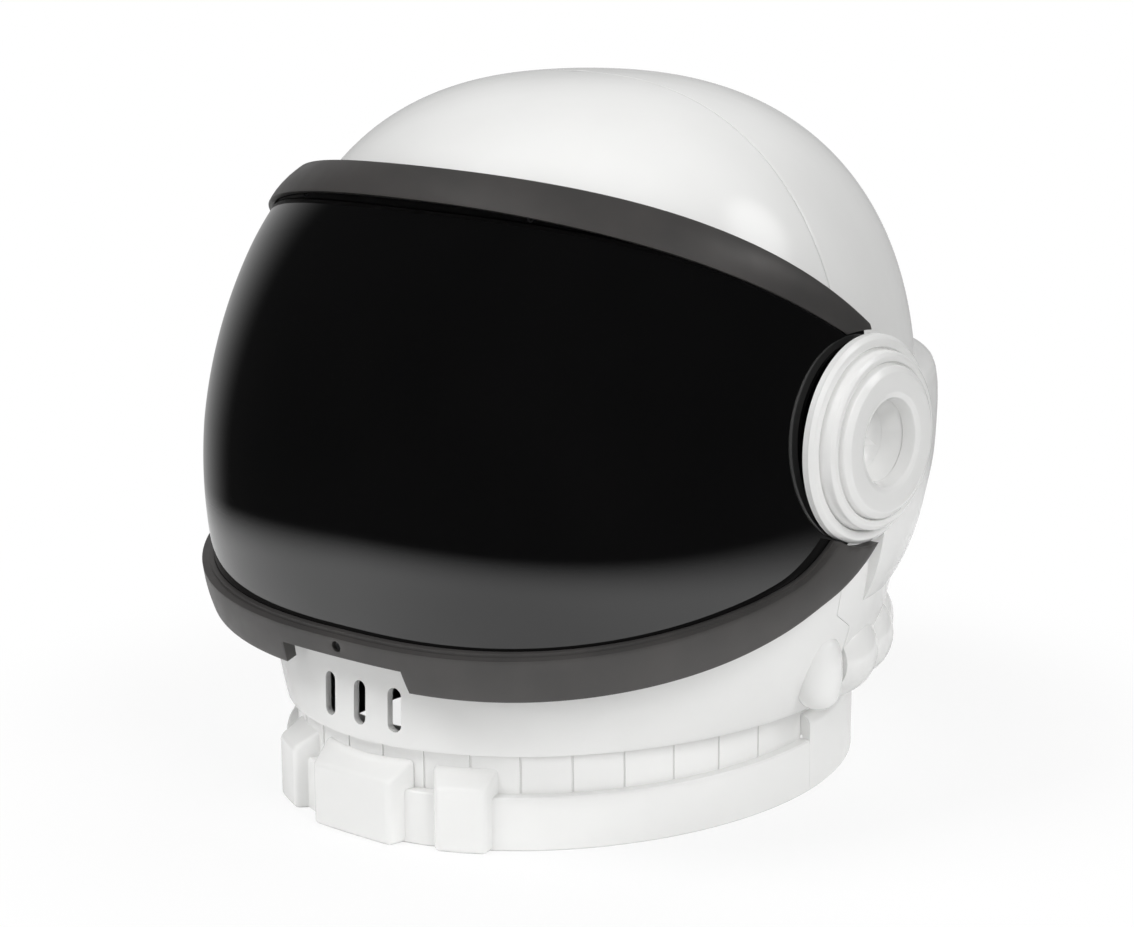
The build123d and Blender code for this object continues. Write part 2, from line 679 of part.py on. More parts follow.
def lower_swell(outer, inner):
    return swell_turn(
        outer, inner, CHIN_CENTRE_Y, CHIN_CENTRE_Z, CHIN_OFFSET, CHIN_JOIN_TURN, LENS_FOOT_TURN, SWELL_FOOT
    )


def build_lens():
    """The tinted shield: a wrapped sheet with a round plate behind each ear knob."""
    outline = side_prism(LENS_OUTLINE)
    upper = upper_swell(0, -LENS_WALL)
    lower = lower_swell(0, -LENS_WALL) - chin_screw_hole()
    sheet = join(upper & outline, lower & outline)
    discs = both_sides(across(EAR_DISC_RADIUS, DISC_BACK, LENS_HALF_WIDTH))
    lens = join(sheet, *discs)
    bores = both_sides(across(HUB_JOURNAL_RADIUS + RUNNING_GAP, DISC_BACK - OVERRUN, FAR))
    return lens.cut(*bores, *brim_screw_holes())


def swell_spot(x, distance, angle, past=0.0):
    """A point of the lens outside and the way it faces, at an angle round its axis."""
    across_pull = (abs(x) / LENS_HALF_WIDTH) ** (LENS_EXPONENT - 1) / LENS_HALF_WIDTH
    radius = LENS_RADIUS * (1 - (abs(x) / LENS_HALF_WIDTH) ** LENS_EXPONENT) ** (1 / LENS_EXPONENT)
    outward_pull = (radius / LENS_RADIUS) ** (LENS_EXPONENT - 1) / LENS_RADIUS
    facing = Vector(
        across_pull * (1 if x >= 0 else -1),
        outward_pull * cos(radians(angle)),
        outward_pull * sin(radians(angle)),
    ).normalized()
    reach = radius + past
    base = Vector(0, CHIN_CENTRE_Y, CHIN_CENTRE_Z) if past else Vector(0, 0, EAR_HEIGHT)
    point = base + Vector(x, reach * cos(radians(angle)), reach * sin(radians(angle)))
    return point + facing * distance, facing


def tilt(share):
    """Height at Y = 0 and slope of a tilted plane, from the brim's lower to upper edge."""
    height = BRIM_LOWER_HEIGHT + (BRIM_UPPER_HEIGHT - BRIM_LOWER_HEIGHT) * share
    slope = BRIM_LOWER_SLOPE + (BRIM_UPPER_SLOPE - BRIM_LOWER_SLOPE) * share
    return height - EAR_HEIGHT, slope


def tilted_y(share, reach):
    """Where a tilted plane is this far from the ear axis, on the face side."""
    height, slope = tilt(share)
    square = 1 + slope**2
    inside = (height * slope) ** 2 - square * (height**2 - reach**2)
    return (-height * slope - sqrt(inside)) / square


def tilted_edge(share, radius, half, exponent):
    """Where a swollen form meets a tilted plane, as one edge from ear to ear."""
    height, slope = tilt(share)
    end_reach = sqrt(BRIM_END**2 + (height + slope * BRIM_END) ** 2)
    last = acos((end_reach / radius) ** (exponent / 2))
    points = []
    for k in range(-BRIM_POINTS, BRIM_POINTS + 1):
        turn = last * abs(k) / BRIM_POINTS
        reach = radius * cos(turn) ** (2 / exponent)
        x = half * sin(turn) ** (2 / exponent) * (1 if k > 0 else -1)
        y = tilted_y(share, reach)
        points.append(Vector(x, y, EAR_HEIGHT + height + slope * y))
    return Spline(*points)


def tilted_strip(share, outer, inner):
    edges = []
    for form in (outer, inner):
        if form is RIB_FORM:
            edges.append(tilted_edge(share, RIB_RADIUS, RIB_HALF_WIDTH, RIB_EXPONENT))
        else:
            edges.append(tilted_edge(share, LENS_RADIUS + form, LENS_HALF_WIDTH + form, LENS_EXPONENT))
    out, back = edges
    return make_face([out, Line(out @ 1, back @ 1), back, Line(back @ 0, out @ 0)])


def build_brim():
    """A hollow peak with a rib down to the crown and a rail that seats on the lens."""
    layers = zip(BRIM_SHARES, BRIM_OUTER_GROWTH, BRIM_INNER_GROWTH)
    skin = loft([tilted_strip(share, outer, inner) for share, outer, inner in layers], ruled=True)
    rib = loft([tilted_strip(share, RIB_OUTER_GROWTH, RIB_FORM) for share in RIB_SHARES], ruled=True)
    rail = loft([tilted_strip(share, RAIL_OUTER_GROWTH, BAND_SEAT) for share in RAIL_SHARES], ruled=True)
    brim = join(skin, rib, rail)
    brim = brim - across(KNOB_CLEARANCE_RADIUS, -FAR, FAR)
    return brim.cut(*brim_screw_holes())


def chin_outline():
    far = FACE_FRONT
    upper = [(far, CHIN_UPPER_HEIGHT + CHIN_UPPER_SLOPE * far)] + list(CHIN_EAR_UPPER)
    lower = [(far, CHIN_LOWER_HEIGHT + CHIN_LOWER_SLOPE * far)] + list(CHIN_EAR_LOWER)
    return upper + lower[::-1]


def notch_prism():
    """The cut-away in the middle of the chin band's lower edge, wider at the bottom."""
    low = CHIN_LOWER_HEIGHT + CHIN_LOWER_SLOPE * FACE_FRONT - OVERRUN
    drop = NOTCH_TOP - low
    wide = NOTCH_HALF_WIDTH + NOTCH_FLARE * drop / OVERRUN
    points = ((-NOTCH_HALF_WIDTH, NOTCH_TOP), (NOTCH_HALF_WIDTH, NOTCH_TOP), (wide, low), (-wide, low))
    outline = Polyline(*[Vector(x, 0, z) for x, z in points], close=True)
    return extrude(make_face(outline), amount=FAR, dir=(0, -1, 0))


def build_chin_band():
    band = lower_swell(CHIN_BAND_PROUD, BAND_SEAT) & side_prism(chin_outline())
    band = band - notch_prism() - across(KNOB_CLEARANCE_RADIUS, -FAR, FAR)
    return band - chin_screw_hole()


def aimed(part, point, facing):
    return Plane(origin=point, z_dir=facing) * part


def brim_screw_spots():
    """Seat and aim of the screws that hold the brim, from inside the lens."""
    spots = []
    height, slope = tilt(BRIM_SCREW_SHARE)
    for x in (-BRIM_SCREW_SPREAD, 0, BRIM_SCREW_SPREAD):
        reach = LENS_RADIUS * (1 - (abs(x) / LENS_HALF_WIDTH) ** LENS_EXPONENT) ** (1 / LENS_EXPONENT)
        y = tilted_y(BRIM_SCREW_SHARE, reach)
        angle = degrees(atan2(height + slope * y, y))
        spots.append(swell_spot(x, TRIM_HEAD_HEIGHT - LENS_WALL, angle))
    return spots


def trim_screw(length):
    return screw(length, TRIM_SCREW_RADIUS, TRIM_HEAD_RADIUS, TRIM_HEAD_HEIGHT)


def trim_hole(length):
    radius = TRIM_SCREW_RADIUS + SCREW_HOLE_GAP
    sink = extrude(Circle(TRIM_HEAD_RADIUS + SCREW_HOLE_GAP), amount=-OVERRUN)
    return extrude(Circle(radius), amount=length + SCREW_HOLE_GAP) + sink


def brim_screw_length():
    return LENS_WALL - TRIM_HEAD_HEIGHT + BRIM_SCREW_BITE


def brim_screw_holes():
    return [aimed(trim_hole(brim_screw_length()), *spot) for spot in brim_screw_spots()]


def chin_screw_spot():
    """Seat and aim of the chin screw, driven inwards from a sunk hole in the band."""
    swing = CHIN_SWING + CHIN_BAND_PROUD
    angle = 180 + degrees(asin((CHIN_CENTRE_Z - CHIN_SCREW_HEIGHT) / swing))
    sink = CHIN_BAND_PROUD - CHIN_SCREW_SINK - TRIM_HEAD_HEIGHT
    point, facing = swell_spot(0, sink, angle, CHIN_OFFSET)
    return point, -facing


def chin_screw_length():
    return CHIN_BAND_PROUD - CHIN_SCREW_SINK - TRIM_HEAD_HEIGHT + LENS_WALL - SCREW_HOLE_GAP


def chin_screw_hole():
    return aimed(trim_hole(chin_screw_length() + LENS_WALL), *chin_screw_spot())


# Ear hardware, drawn for the wearer's left


def build_ear_hub():
    back = EAR_BOSS_FACE + SEAT_GAP
    top = HUB_TOP + HUB_JOURNAL_LENGTH
    hub = across(HUB_RADIUS, back, HUB_TOP) + across(HUB_JOURNAL_RADIUS, back, top)
    hub = hub - across(HUB_WINDOW_RADIUS, top - HUB_WINDOW_DEPTH, FAR)
    radius = SCREW_RADIUS + SCREW_HOLE_GAP
    for y, z in ring_spots(KNOB_SCREW_CIRCLE, KNOB_SCREW_TURN, 90):
        hub = hub - across(radius, 0, FAR, y, z)
        hub = hub - across(SCREW_HEAD_RADIUS + SCREW_HOLE_GAP, 0, knob_screw_seat(), y, z)
    for y, z in ring_spots(HUB_SCREW_CIRCLE, 90, HUB_SCREW_TURN):
        hub = hub - across(radius, 0, hub_screw_tip() + SCREW_HOLE_GAP, y, z)
    return hub


def knob_screw_seat():
    return EAR_BOSS_FACE + SEAT_GAP + SCREW_HEAD_HEIGHT + SCREW_HOLE_GAP


def hub_screw_tip():
    return HUB_TOP - HUB_SCREW_COVER - 2 * SCREW_HOLE_GAP


def build_washer():
    start = HUB_TOP + SEAT_GAP
    ring = across(WASHER_RADIUS, start, start + WASHER_THICKNESS)
    return ring - across(HUB_JOURNAL_RADIUS + 2 * SEAT_GAP, 0, FAR)


def build_knob():
    points = [(KNOB_BACK + step, radius) for radius, step in zip(KNOB_RADII, KNOB_STEPS)]
    outline = make_face(Polyline(*points, close=True))
    knob = Pos(0, 0, EAR_HEIGHT) * Rot(90, 0, 0) * revolve(outline, axis=Axis.X)
    pocket = across(KNOB_POCKET_OUTER, 0, KNOB_BACK + KNOB_POCKET_DEPTH)
    knob = knob - (pocket - across(KNOB_POCKET_INNER, 0, FAR))
    for y, z in ring_spots(KNOB_SCREW_CIRCLE, KNOB_SCREW_TURN, 90):
        knob = knob - across(SCREW_RADIUS + SCREW_HOLE_GAP, 0, KNOB_BACK + KNOB_SCREW_GRIP + SEAT_GAP, y, z)
    return knob


def ear_screws(length, seat, spots):
    """Screws along +X with their heads towards the wearer."""
    return [Pos(seat, y, z) * Rot(0, 90, 0) * screw(length) for y, z in spots]


def build_hub_screws():
    spots = ring_spots(HUB_SCREW_CIRCLE, 90, HUB_SCREW_TURN)
    return ear_screws(hub_screw_tip() - EAR_SPOT_FACE, EAR_SPOT_FACE, spots)


def build_knob_screws():
    spots = ring_spots(KNOB_SCREW_CIRCLE, KNOB_SCREW_TURN, 90)
    return ear_screws(KNOB_BACK + KNOB_SCREW_GRIP - knob_screw_seat(), knob_screw_seat(), spots)


def build_shell_screws():
    screws = []
    for x, z in seam_spots():
        place = Pos(x, SHELL_BOSS_LENGTH, z) * Rot(90, 0, 0)
        screws.append(place * screw(SHELL_BOSS_LENGTH + SHELL_SCREW_BITE))
    return screws


def build_collar_screws():
    seat = LIP_HEIGHT - SEAM_GAP - FLANGE_THICKNESS
    length = LIP_HEIGHT + COLLAR_SCREW_BITE - SCREW_HOLE_GAP - seat
    return [Pos(x, y, seat) * screw(length) for side in (-1, 1) for x, y in collar_spots(side)]


# Pads


def build_crown_pad():
    """A flattened cushion under the top of the crown."""
    size = (CROWN_PAD_HALF_WIDTH, CROWN_PAD_HALF_HEIGHT)
    edge = Plane.XZ * EllipticalCenterArc((0, 0), *size, start_angle=-90, arc_size=180)
    pad = revolve(make_face([edge, Line(edge @ 1, edge @ 0)]), axis=Axis.Z)
    pad = scale(pad, by=(1, CROWN_PAD_HALF_DEPTH / CROWN_PAD_HALF_WIDTH, 1))
    top = BELT_HEIGHT + CROWN_RISE - SHELL_WALL - CROWN_PAD_DROP
    return Pos(0, CROWN_PAD_SETBACK, top - CROWN_PAD_HALF_HEIGHT) * pad


def nape_section(share):
    """The nape pad's plan at a share of its half height, a bent rounded bar."""
    shrink = (1 - abs(share) ** PAD_EXPONENT) ** (1 / PAD_EXPONENT)
    z = (NAPE_PAD_FOOT + NAPE_PAD_TOP) / 2 + share * (NAPE_PAD_TOP - NAPE_PAD_FOOT) / 2
    middle = SHELL_WALL + PAD_GAP + NAPE_PAD_THICKNESS / 2

    def place(turn):
        power = 2 / PAD_EXPONENT
        along = abs(cos(turn)) ** power * (1 if cos(turn) >= 0 else -1)
        thick = abs(sin(turn)) ** power * (1 if sin(turn) >= 0 else -1)
        angle = radians(90 - NAPE_PAD_HALF_ARC * along * (1 + shrink) / 2)
        inset = middle - NAPE_PAD_THICKNESS / 2 * thick * shrink
        return Vector((half_width(z) - inset) * cos(angle), (depth(z, 1) - inset) * sin(angle), z)

    outer = Spline(*[place(pi * k / PAD_POINTS) for k in range(PAD_POINTS + 1)])
    inner = Spline(*[place(pi + pi * k / PAD_POINTS) for k in range(PAD_POINTS + 1)])
    return make_face([outer, inner])


def build_nape_pad():
    shares = []
    for k in range(PAD_SECTIONS):
        shares.append(sin(pi * (k / (PAD_SECTIONS - 1) - 1 / 2) * (1 - PAD_END_SHARE / PAD_SECTIONS)))
    return loft([nape_section(share) for share in shares])


def save(name, shape):
    shapes = list(shape) if isinstance(shape, (list, tuple)) else [shape]
    shapes = [Pos(0, PIVOT_Y, 0) * one for one in shapes]
    body = shapes[0] if len(shapes) == 1 else Compound(children=shapes)
    export_step(body, "parts/" + name + ".step")


def flipped(shape):
    """The wearer's right-hand copy of ear hardware."""
    if isinstance(shape, list):
        return [mirror(one, about=Plane.YZ) for one in shape]
    return mirror(shape, about=Plane.YZ)


os.makedirs("parts", exist_ok=True)

save("front_shell", build_front_shell())
save("rear_shell", build_rear_shell())
save("front_collar", build_front_collar())
save("rear_collar", build_rear_collar())
save("visor_lens", build_lens())
save("visor_brim", build_brim())
save("visor_chin_band", build_chin_band())
save("brim_screws", [aimed(trim_screw(brim_screw_length()), *spot) for spot in brim_screw_spots()])
save("chin_screw", aimed(trim_screw(chin_screw_length()), *chin_screw_spot()))
for name, shape in (
    ("ear_hub", build_ear_hub()),
    ("ear_knob", build_knob()),
    ("friction_washer", build_washer()),
    ("hub_screws", build_hub_screws()),
    ("knob_screws", build_knob_screws()),
):
    save("left_" + name, shape)
    save("right_" + name, flipped(shape))
save("shell_screws", build_shell_screws())
save("collar_screws", build_collar_screws())
save("crown_pad", build_crown_pad())
save("nape_pad", build_nape_pad())
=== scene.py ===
"""The finished look of an astronaut helmet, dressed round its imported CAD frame."""

import logging
import math
from dataclasses import dataclass
from enum import Enum
from typing import Sequence

import bmesh
import bpy
import numpy as np
from mathutils import Matrix, Vector


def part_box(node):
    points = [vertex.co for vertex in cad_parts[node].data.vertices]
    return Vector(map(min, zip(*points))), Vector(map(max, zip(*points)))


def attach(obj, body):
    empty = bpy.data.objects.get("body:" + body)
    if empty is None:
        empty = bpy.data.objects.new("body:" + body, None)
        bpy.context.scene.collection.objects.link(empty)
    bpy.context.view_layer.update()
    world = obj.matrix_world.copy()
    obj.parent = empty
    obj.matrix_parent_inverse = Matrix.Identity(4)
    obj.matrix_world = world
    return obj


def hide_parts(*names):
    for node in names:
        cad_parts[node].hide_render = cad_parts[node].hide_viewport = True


LOG = logging.getLogger("helmet")
MM = 0.001
SHELL_BODY = "shell"
VISOR_BODY = "visor"
# Pieces are drawn in millimetres with the ear axis over Y = 0; the row frame has it over PIVOT_Y.
PIVOT_Y = -4.08312
EAR_HEIGHT = 160.0
# Signs of X at the wearer's left and right ear.
EARS = (1, -1)
# A cutter of this reach, either way, passes right through the helmet.
FAR = 300.0
# Where along X a cut at an ear starts and ends.
EAR_CUT = (110.0, 190.0)
# Keeps a division from running into zero.
TINY = 1e-6


class Side(Enum):
    """Which half of the helmet, as the sign of Y."""

    FRONT = -1
    REAR = 1


class Cut(Enum):
    """What a boolean tool does to a piece."""

    TAKE_AWAY = "DIFFERENCE"
    UNITE = "UNION"
    KEEP_COMMON = "INTERSECT"


# Mesh workshop


def in_frame(points: np.ndarray) -> np.ndarray:
    """Turns millimetres about the ear axis into metres in the row frame.

    Args:
        points: Places drawn with the ear axis at Y = 0, one row each.

    Returns:
        The same places in metres.
    """
    return (np.asarray(points, dtype=float).reshape(-1, 3) + (0.0, PIVOT_Y, 0.0)) * MM


def new_piece(name: str, points: np.ndarray, faces: Sequence[Sequence[int]]) -> bpy.types.Object:
    """Makes an object from points in millimetres and faces.

    Args:
        name: The piece's name.
        points: Its places about the ear axis.
        faces: Corner numbers of each face.

    Returns:
        The linked object, its faces pointing outwards.
    """
    mesh = bpy.data.meshes.new(name)
    mesh.from_pydata(in_frame(points).tolist(), [], [tuple(face) for face in faces])
    obj = bpy.data.objects.new(name, mesh)
    bpy.context.scene.collection.objects.link(obj)
    face_outwards(obj)
    return obj


def face_outwards(obj: bpy.types.Object, merge: float = 1e-7) -> None:
    """Merges doubled points and turns every face outwards.

    Args:
        obj: A mesh object of closed shells.
        merge: Points nearer than this, in metres, become one.
    """
    work = bmesh.new()
    work.from_mesh(obj.data)
    bmesh.ops.remove_doubles(work, verts=work.verts, dist=merge)
    bmesh.ops.dissolve_degenerate(work, edges=work.edges, dist=merge)
    bmesh.ops.recalc_face_normals(work, faces=work.faces)
    work.to_mesh(obj.data)
    work.free()
    obj.data.update()


def smooth(obj: bpy.types.Object, angle: float = 32.0) -> None:
    """Shades a piece smooth except across edges sharper than an angle in degrees."""
    obj.data.shade_smooth()
    obj.data.set_sharp_from_angle(angle=math.radians(angle))


def wall(name: str, outer: np.ndarray, inner: np.ndarray) -> bpy.types.Object:
    """Closes two grids of the same size into a wall.

    Args:
        name: The piece's name.
        outer: Rows by columns by three, the outside.
        inner: The same for the inside.

    Returns:
        The closed piece.
    """
    rows, cols = outer.shape[:2]
    count = rows * cols
    faces = []
    for r in range(rows - 1):
        for c in range(cols - 1):
            a = r * cols + c
            quad = (a, a + 1, a + cols + 1, a + cols)
            faces.append(quad)
            faces.append(tuple(count + k for k in reversed(quad)))
    for r in range(rows - 1):
        for a in (r * cols, r * cols + cols - 1):
            faces.append((a, a + cols, a + cols + count, a + count))
    for c in range(cols - 1):
        for a in (c, (rows - 1) * cols + c):
            faces.append((a, a + 1, a + 1 + count, a + count))
    return new_piece(name, np.concatenate([outer.reshape(-1, 3), inner.reshape(-1, 3)]), faces)


def sweep(name: str, rings: np.ndarray, closed: bool = False) -> bpy.types.Object:
    """Joins closed sections into a bar.

    Args:
        name: The piece's name.
        rings: Stations by section points by three.
        closed: Whether the last station joins the first.

    Returns:
        The closed piece.
    """
    stations, count = rings.shape[:2]
    faces = []
    for s in range(stations if closed else stations - 1):
        after = (s + 1) % stations
        for k in range(count):
            nxt = (k + 1) % count
            faces.append((s * count + k, s * count + nxt, after * count + nxt, after * count + k))
    if not closed:
        faces.append(tuple(range(count)))
        faces.append(tuple((stations - 1) * count + k for k in reversed(range(count))))
    return new_piece(name, rings.reshape(-1, 3), faces)


def lathe(name: str, profile: Sequence[tuple[float, float]], steps: int = 144) -> bpy.types.Object:
    """Turns a closed profile about the ear axis.

    Args:
        name: The piece's name.
        profile: Corners as (X, radius) in millimetres.
        steps: How many stations go round.

    Returns:
        The closed ring or disc.
    """
    rings = []
    for k in range(steps):
        turn = 2 * math.pi * k / steps
        rings.append([(x, r * math.cos(turn), EAR_HEIGHT + r * math.sin(turn)) for x, r in profile])
    return sweep(name, np.array(rings), closed=True)


def oval(a: float, b: float, x: float, y: float, steps: int) -> list[tuple[float, float]]:
    """The corners of an oval about (x, y), with a and b its half axes."""
    turns = np.linspace(0, 2 * np.pi, steps, endpoint=False)
    return [(x + a * math.cos(t), y + b * math.sin(t)) for t in turns]


def prism(name: str, outline: Sequence[tuple[float, float]], x0: float, x1: float) -> bpy.types.Object:
    """A prism along X from a side-view outline in (Y, Z)."""
    rings = [[(x, y, z) for y, z in outline] for x in (x0, x1)]
    return sweep(name, np.array(rings))


def peg(name: str, outline: Sequence[tuple[float, float]], y0: float, y1: float) -> bpy.types.Object:
    """A prism along Y from a front-view outline in (X, Z)."""
    rings = [[(x, y, z) for x, z in outline] for y in (y0, y1)]
    return sweep(name, np.array(rings))


def column(name: str, outline: Sequence[tuple[float, float]], z0: float, z1: float) -> bpy.types.Object:
    """A prism along Z from a plan outline in (X, Y)."""
    rings = [[(x, y, z) for x, y in outline] for z in (z0, z1)]
    return sweep(name, np.array(rings))


def drum(name: str, radius: float, x0: float, x1: float, steps: int = 96) -> bpy.types.Object:
    """A solid cylinder about the ear axis."""
    return prism(name, oval(radius, radius, 0.0, EAR_HEIGHT, steps), x0, x1)


def between(y0: float, y1: float) -> bpy.types.Object:
    """A box that holds all that lies between two places along Y."""
    return prism("between", ((y0, -FAR), (y1, -FAR), (y1, FAR), (y0, FAR)), -FAR, FAR)


def rounded(
    points: Sequence[tuple[float, float]], radius: float, steps: int = 8
) -> list[tuple[float, float]]:
    """Rounds the corners of a closed outline.

    Args:
        points: Its corners.
        radius: How far from a corner its arc starts.
        steps: Straight steps to an arc.

    Returns:
        The finer outline.
    """
    made = []
    for k, corner in enumerate(points):
        here = np.array(corner)
        before = np.array(points[k - 1]) - here
        after = np.array(points[(k + 1) % len(points)]) - here
        start = here + before / np.linalg.norm(before) * radius
        end = here + after / np.linalg.norm(after) * radius
        for part in np.linspace(0, 1, steps):
            spot = start * (1 - part) ** 2 + here * 2 * part * (1 - part) + end * part**2
            made.append((float(spot[0]), float(spot[1])))
    return made


def about_origin(name: str, rings: np.ndarray, closed: bool = False) -> bpy.types.Object:
    """A bar drawn about the frame's origin, to be copied onto points."""
    return sweep(name, rings - (0.0, PIVOT_Y, 0.0), closed)


@dataclass(frozen=True)
class Repeat:
    """Copies of one shape on named points, laid by a Geometry Nodes group."""

    name: str
    spots: tuple[tuple[float, float, float], ...]
    turns: tuple[float, ...]
    stretches: tuple[tuple[float, float, float], ...]

    def group(self) -> tuple[bpy.types.NodeTree, dict[str, str]]:
        """The node group and its inputs' identifiers by name.

        Returns:
            The group, and the identifiers of Copy and Finish.
        """
        tree = bpy.data.node_groups.new(self.name, "GeometryNodeTree")
        face = tree.interface
        face.new_socket(name="Geometry", in_out="INPUT", socket_type="NodeSocketGeometry")
        copy = face.new_socket(name="Copy", in_out="INPUT", socket_type="NodeSocketObject")
        finish = face.new_socket(name="Finish", in_out="INPUT", socket_type="NodeSocketMaterial")
        face.new_socket(name="Geometry", in_out="OUTPUT", socket_type="NodeSocketGeometry")
        start = tree.nodes.new("NodeGroupInput")
        end = tree.nodes.new("NodeGroupOutput")
        shape = tree.nodes.new("GeometryNodeObjectInfo")
        place = tree.nodes.new("GeometryNodeInstanceOnPoints")
        turn = tree.nodes.new("GeometryNodeInputNamedAttribute")
        turn.data_type = "FLOAT_VECTOR"
        turn.inputs["Name"].default_value = "turn"
        stretch = tree.nodes.new("GeometryNodeInputNamedAttribute")
        stretch.data_type = "FLOAT_VECTOR"
        stretch.inputs["Name"].default_value = "stretch"
        rotation = tree.nodes.new("FunctionNodeEulerToRotation")
        real = tree.nodes.new("GeometryNodeRealizeInstances")
        paint = tree.nodes.new("GeometryNodeSetMaterial")
        link = tree.links.new
        link(start.outputs["Copy"], shape.inputs["Object"])
        link(start.outputs["Geometry"], place.inputs["Points"])
        link(shape.outputs["Geometry"], place.inputs["Instance"])
        link(turn.outputs["Attribute"], rotation.inputs[0])
        link(rotation.outputs[0], place.inputs["Rotation"])
        link(stretch.outputs["Attribute"], place.inputs["Scale"])
        link(place.outputs["Instances"], real.inputs["Geometry"])
        link(real.outputs["Geometry"], paint.inputs["Geometry"])
        link(start.outputs["Finish"], paint.inputs["Material"])
        link(paint.outputs["Geometry"], end.inputs["Geometry"])
        return tree, {"Copy": copy.identifier, "Finish": finish.identifier}

    def lay(self, shape: bpy.types.Object, finish: "Finish") -> bpy.types.Object:
        """Lays the copies and turns them into one plain mesh.

        Args:
            shape: The shape, drawn about the origin; it is removed afterwards.
            finish: The surface of the copies.

        Returns:
            One object with every copy.
        """
        mesh = bpy.data.meshes.new(self.name)
        mesh.from_pydata(in_frame(np.array(self.spots)).tolist(), [], [])
        for name, rows in (("turn", [(0.0, 0.0, t) for t in self.turns]), ("stretch", self.stretches)):
            layer = mesh.attributes.new(name, "FLOAT_VECTOR", "POINT")
            layer.data.foreach_set("vector", np.array(rows, dtype=float).ravel())
        obj = bpy.data.objects.new(self.name, mesh)
        bpy.context.scene.collection.objects.link(obj)
        tree, known = self.group()
        step = obj.modifiers.new("copies", "NODES")
        step.node_group = tree
        step[known["Copy"]] = shape
        step[known["Finish"]] = finish.material()
        settle(obj)
        bpy.data.objects.remove(shape)
        face_outwards(obj)
        return obj


def settle(obj: bpy.types.Object) -> None:
    """Applies a piece's modifiers into a plain mesh of its own.

    Args:
        obj: The piece.
    """
    bpy.context.view_layer.update()
    graph = bpy.context.evaluated_depsgraph_get()
    mesh = bpy.data.meshes.new_from_object(obj.evaluated_get(graph))
    obj.modifiers.clear()
    old = obj.data
    obj.data = mesh
    bpy.data.meshes.remove(old)


def carve(obj: bpy.types.Object, cut: Cut, *tools: bpy.types.Object, crossing: bool = False) -> None:
    """Runs boolean tools on a piece one after another and removes them.

    Args:
        obj: The piece to change.
        cut: What the tools do.
        tools: Closed meshes.
        crossing: Whether a mesh may hold parts that cross each other.
    """
    for tool in tools:
        step = obj.modifiers.new("cut", "BOOLEAN")
        step.use_self = crossing
        step.operation = cut.value
        step.solver = "EXACT"
        step.object = tool
        settle(obj)
        bpy.data.objects.remove(tool)


def cut_at_ears(obj: bpy.types.Object, radius: float, outer: float = EAR_CUT[1]) -> None:
    """Cuts a round way into a piece at both ears.

    Args:
        obj: The piece to change.
        radius: The cut's radius about the ear axis.
        outer: How far out it goes.
    """
    for sign in EARS:
        carve(obj, Cut.TAKE_AWAY, drum("ear_cut", radius, sign * EAR_CUT[0], sign * outer))


def ease_edges(obj: bpy.types.Object, width: float, angle: float = 40.0, segments: int = 2) -> None:
    """Rounds the sharp edges of a piece.

    Args:
        obj: The piece.
        width: Width of the rounding in millimetres.
        angle: Edges sharper than this many degrees are rounded.
        segments: Steps across the rounding.
    """
    step = obj.modifiers.new("ease", "BEVEL")
    step.width = width * MM
    step.segments = segments
    step.limit_method = "ANGLE"
    step.angle_limit = math.radians(angle)
    step.use_clamp_overlap = True
    step.harden_normals = False
    settle(obj)


def merged_copy(node: str, name: str, merge: float = 2e-6) -> bpy.types.Object:
    """A copy of a CAD node with its loose triangles merged.

    Args:
        node: The CAD node's name.
        name: The new piece's name.
        merge: Points nearer than this, in metres, become one.

    Returns:
        The copy, not yet riding on a body.
    """
    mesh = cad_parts[node].data.copy()
    mesh.materials.clear()
    obj = bpy.data.objects.new(name, mesh)
    bpy.context.scene.collection.objects.link(obj)
    work = bmesh.new()
    work.from_mesh(mesh)
    bmesh.ops.remove_doubles(work, verts=work.verts, dist=merge)
    work.to_mesh(mesh)
    work.free()
    mesh.update()
    return obj


# Finishes


# The noise values between which a finish goes from one colour, or one polish, to the other.
COLOUR_NOISE = (0.35, 0.75)
POLISH_NOISE = (0.3, 0.7)
# How much finer than the patches of colour the wear is, and how high the grain stands, in metres.
WEAR_FINENESS = 3
GRAIN_HEIGHT = 0.0004
SMOOTHEST = 0.01


def span(
    tree: bpy.types.NodeTree, value: bpy.types.NodeSocket, source: tuple[float, float],
    target: tuple[float, float], soft: bool = False,
) -> bpy.types.NodeSocket:
    """Carries a value from one range to another, held at the ends.

    Args:
        tree: The node tree.
        value: The value's socket.
        source: The range that it is taken from.
        target: The range that it is given.
        soft: Whether it starts and ends softly.

    Returns:
        The socket of the new value.
    """
    step = tree.nodes.new("ShaderNodeMapRange")
    if soft:
        step.interpolation_type = "SMOOTHSTEP"
    step.inputs["From Min"].default_value, step.inputs["From Max"].default_value = source
    step.inputs["To Min"].default_value, step.inputs["To Max"].default_value = target
    tree.links.new(value, step.inputs["Value"])
    return step.outputs["Result"]


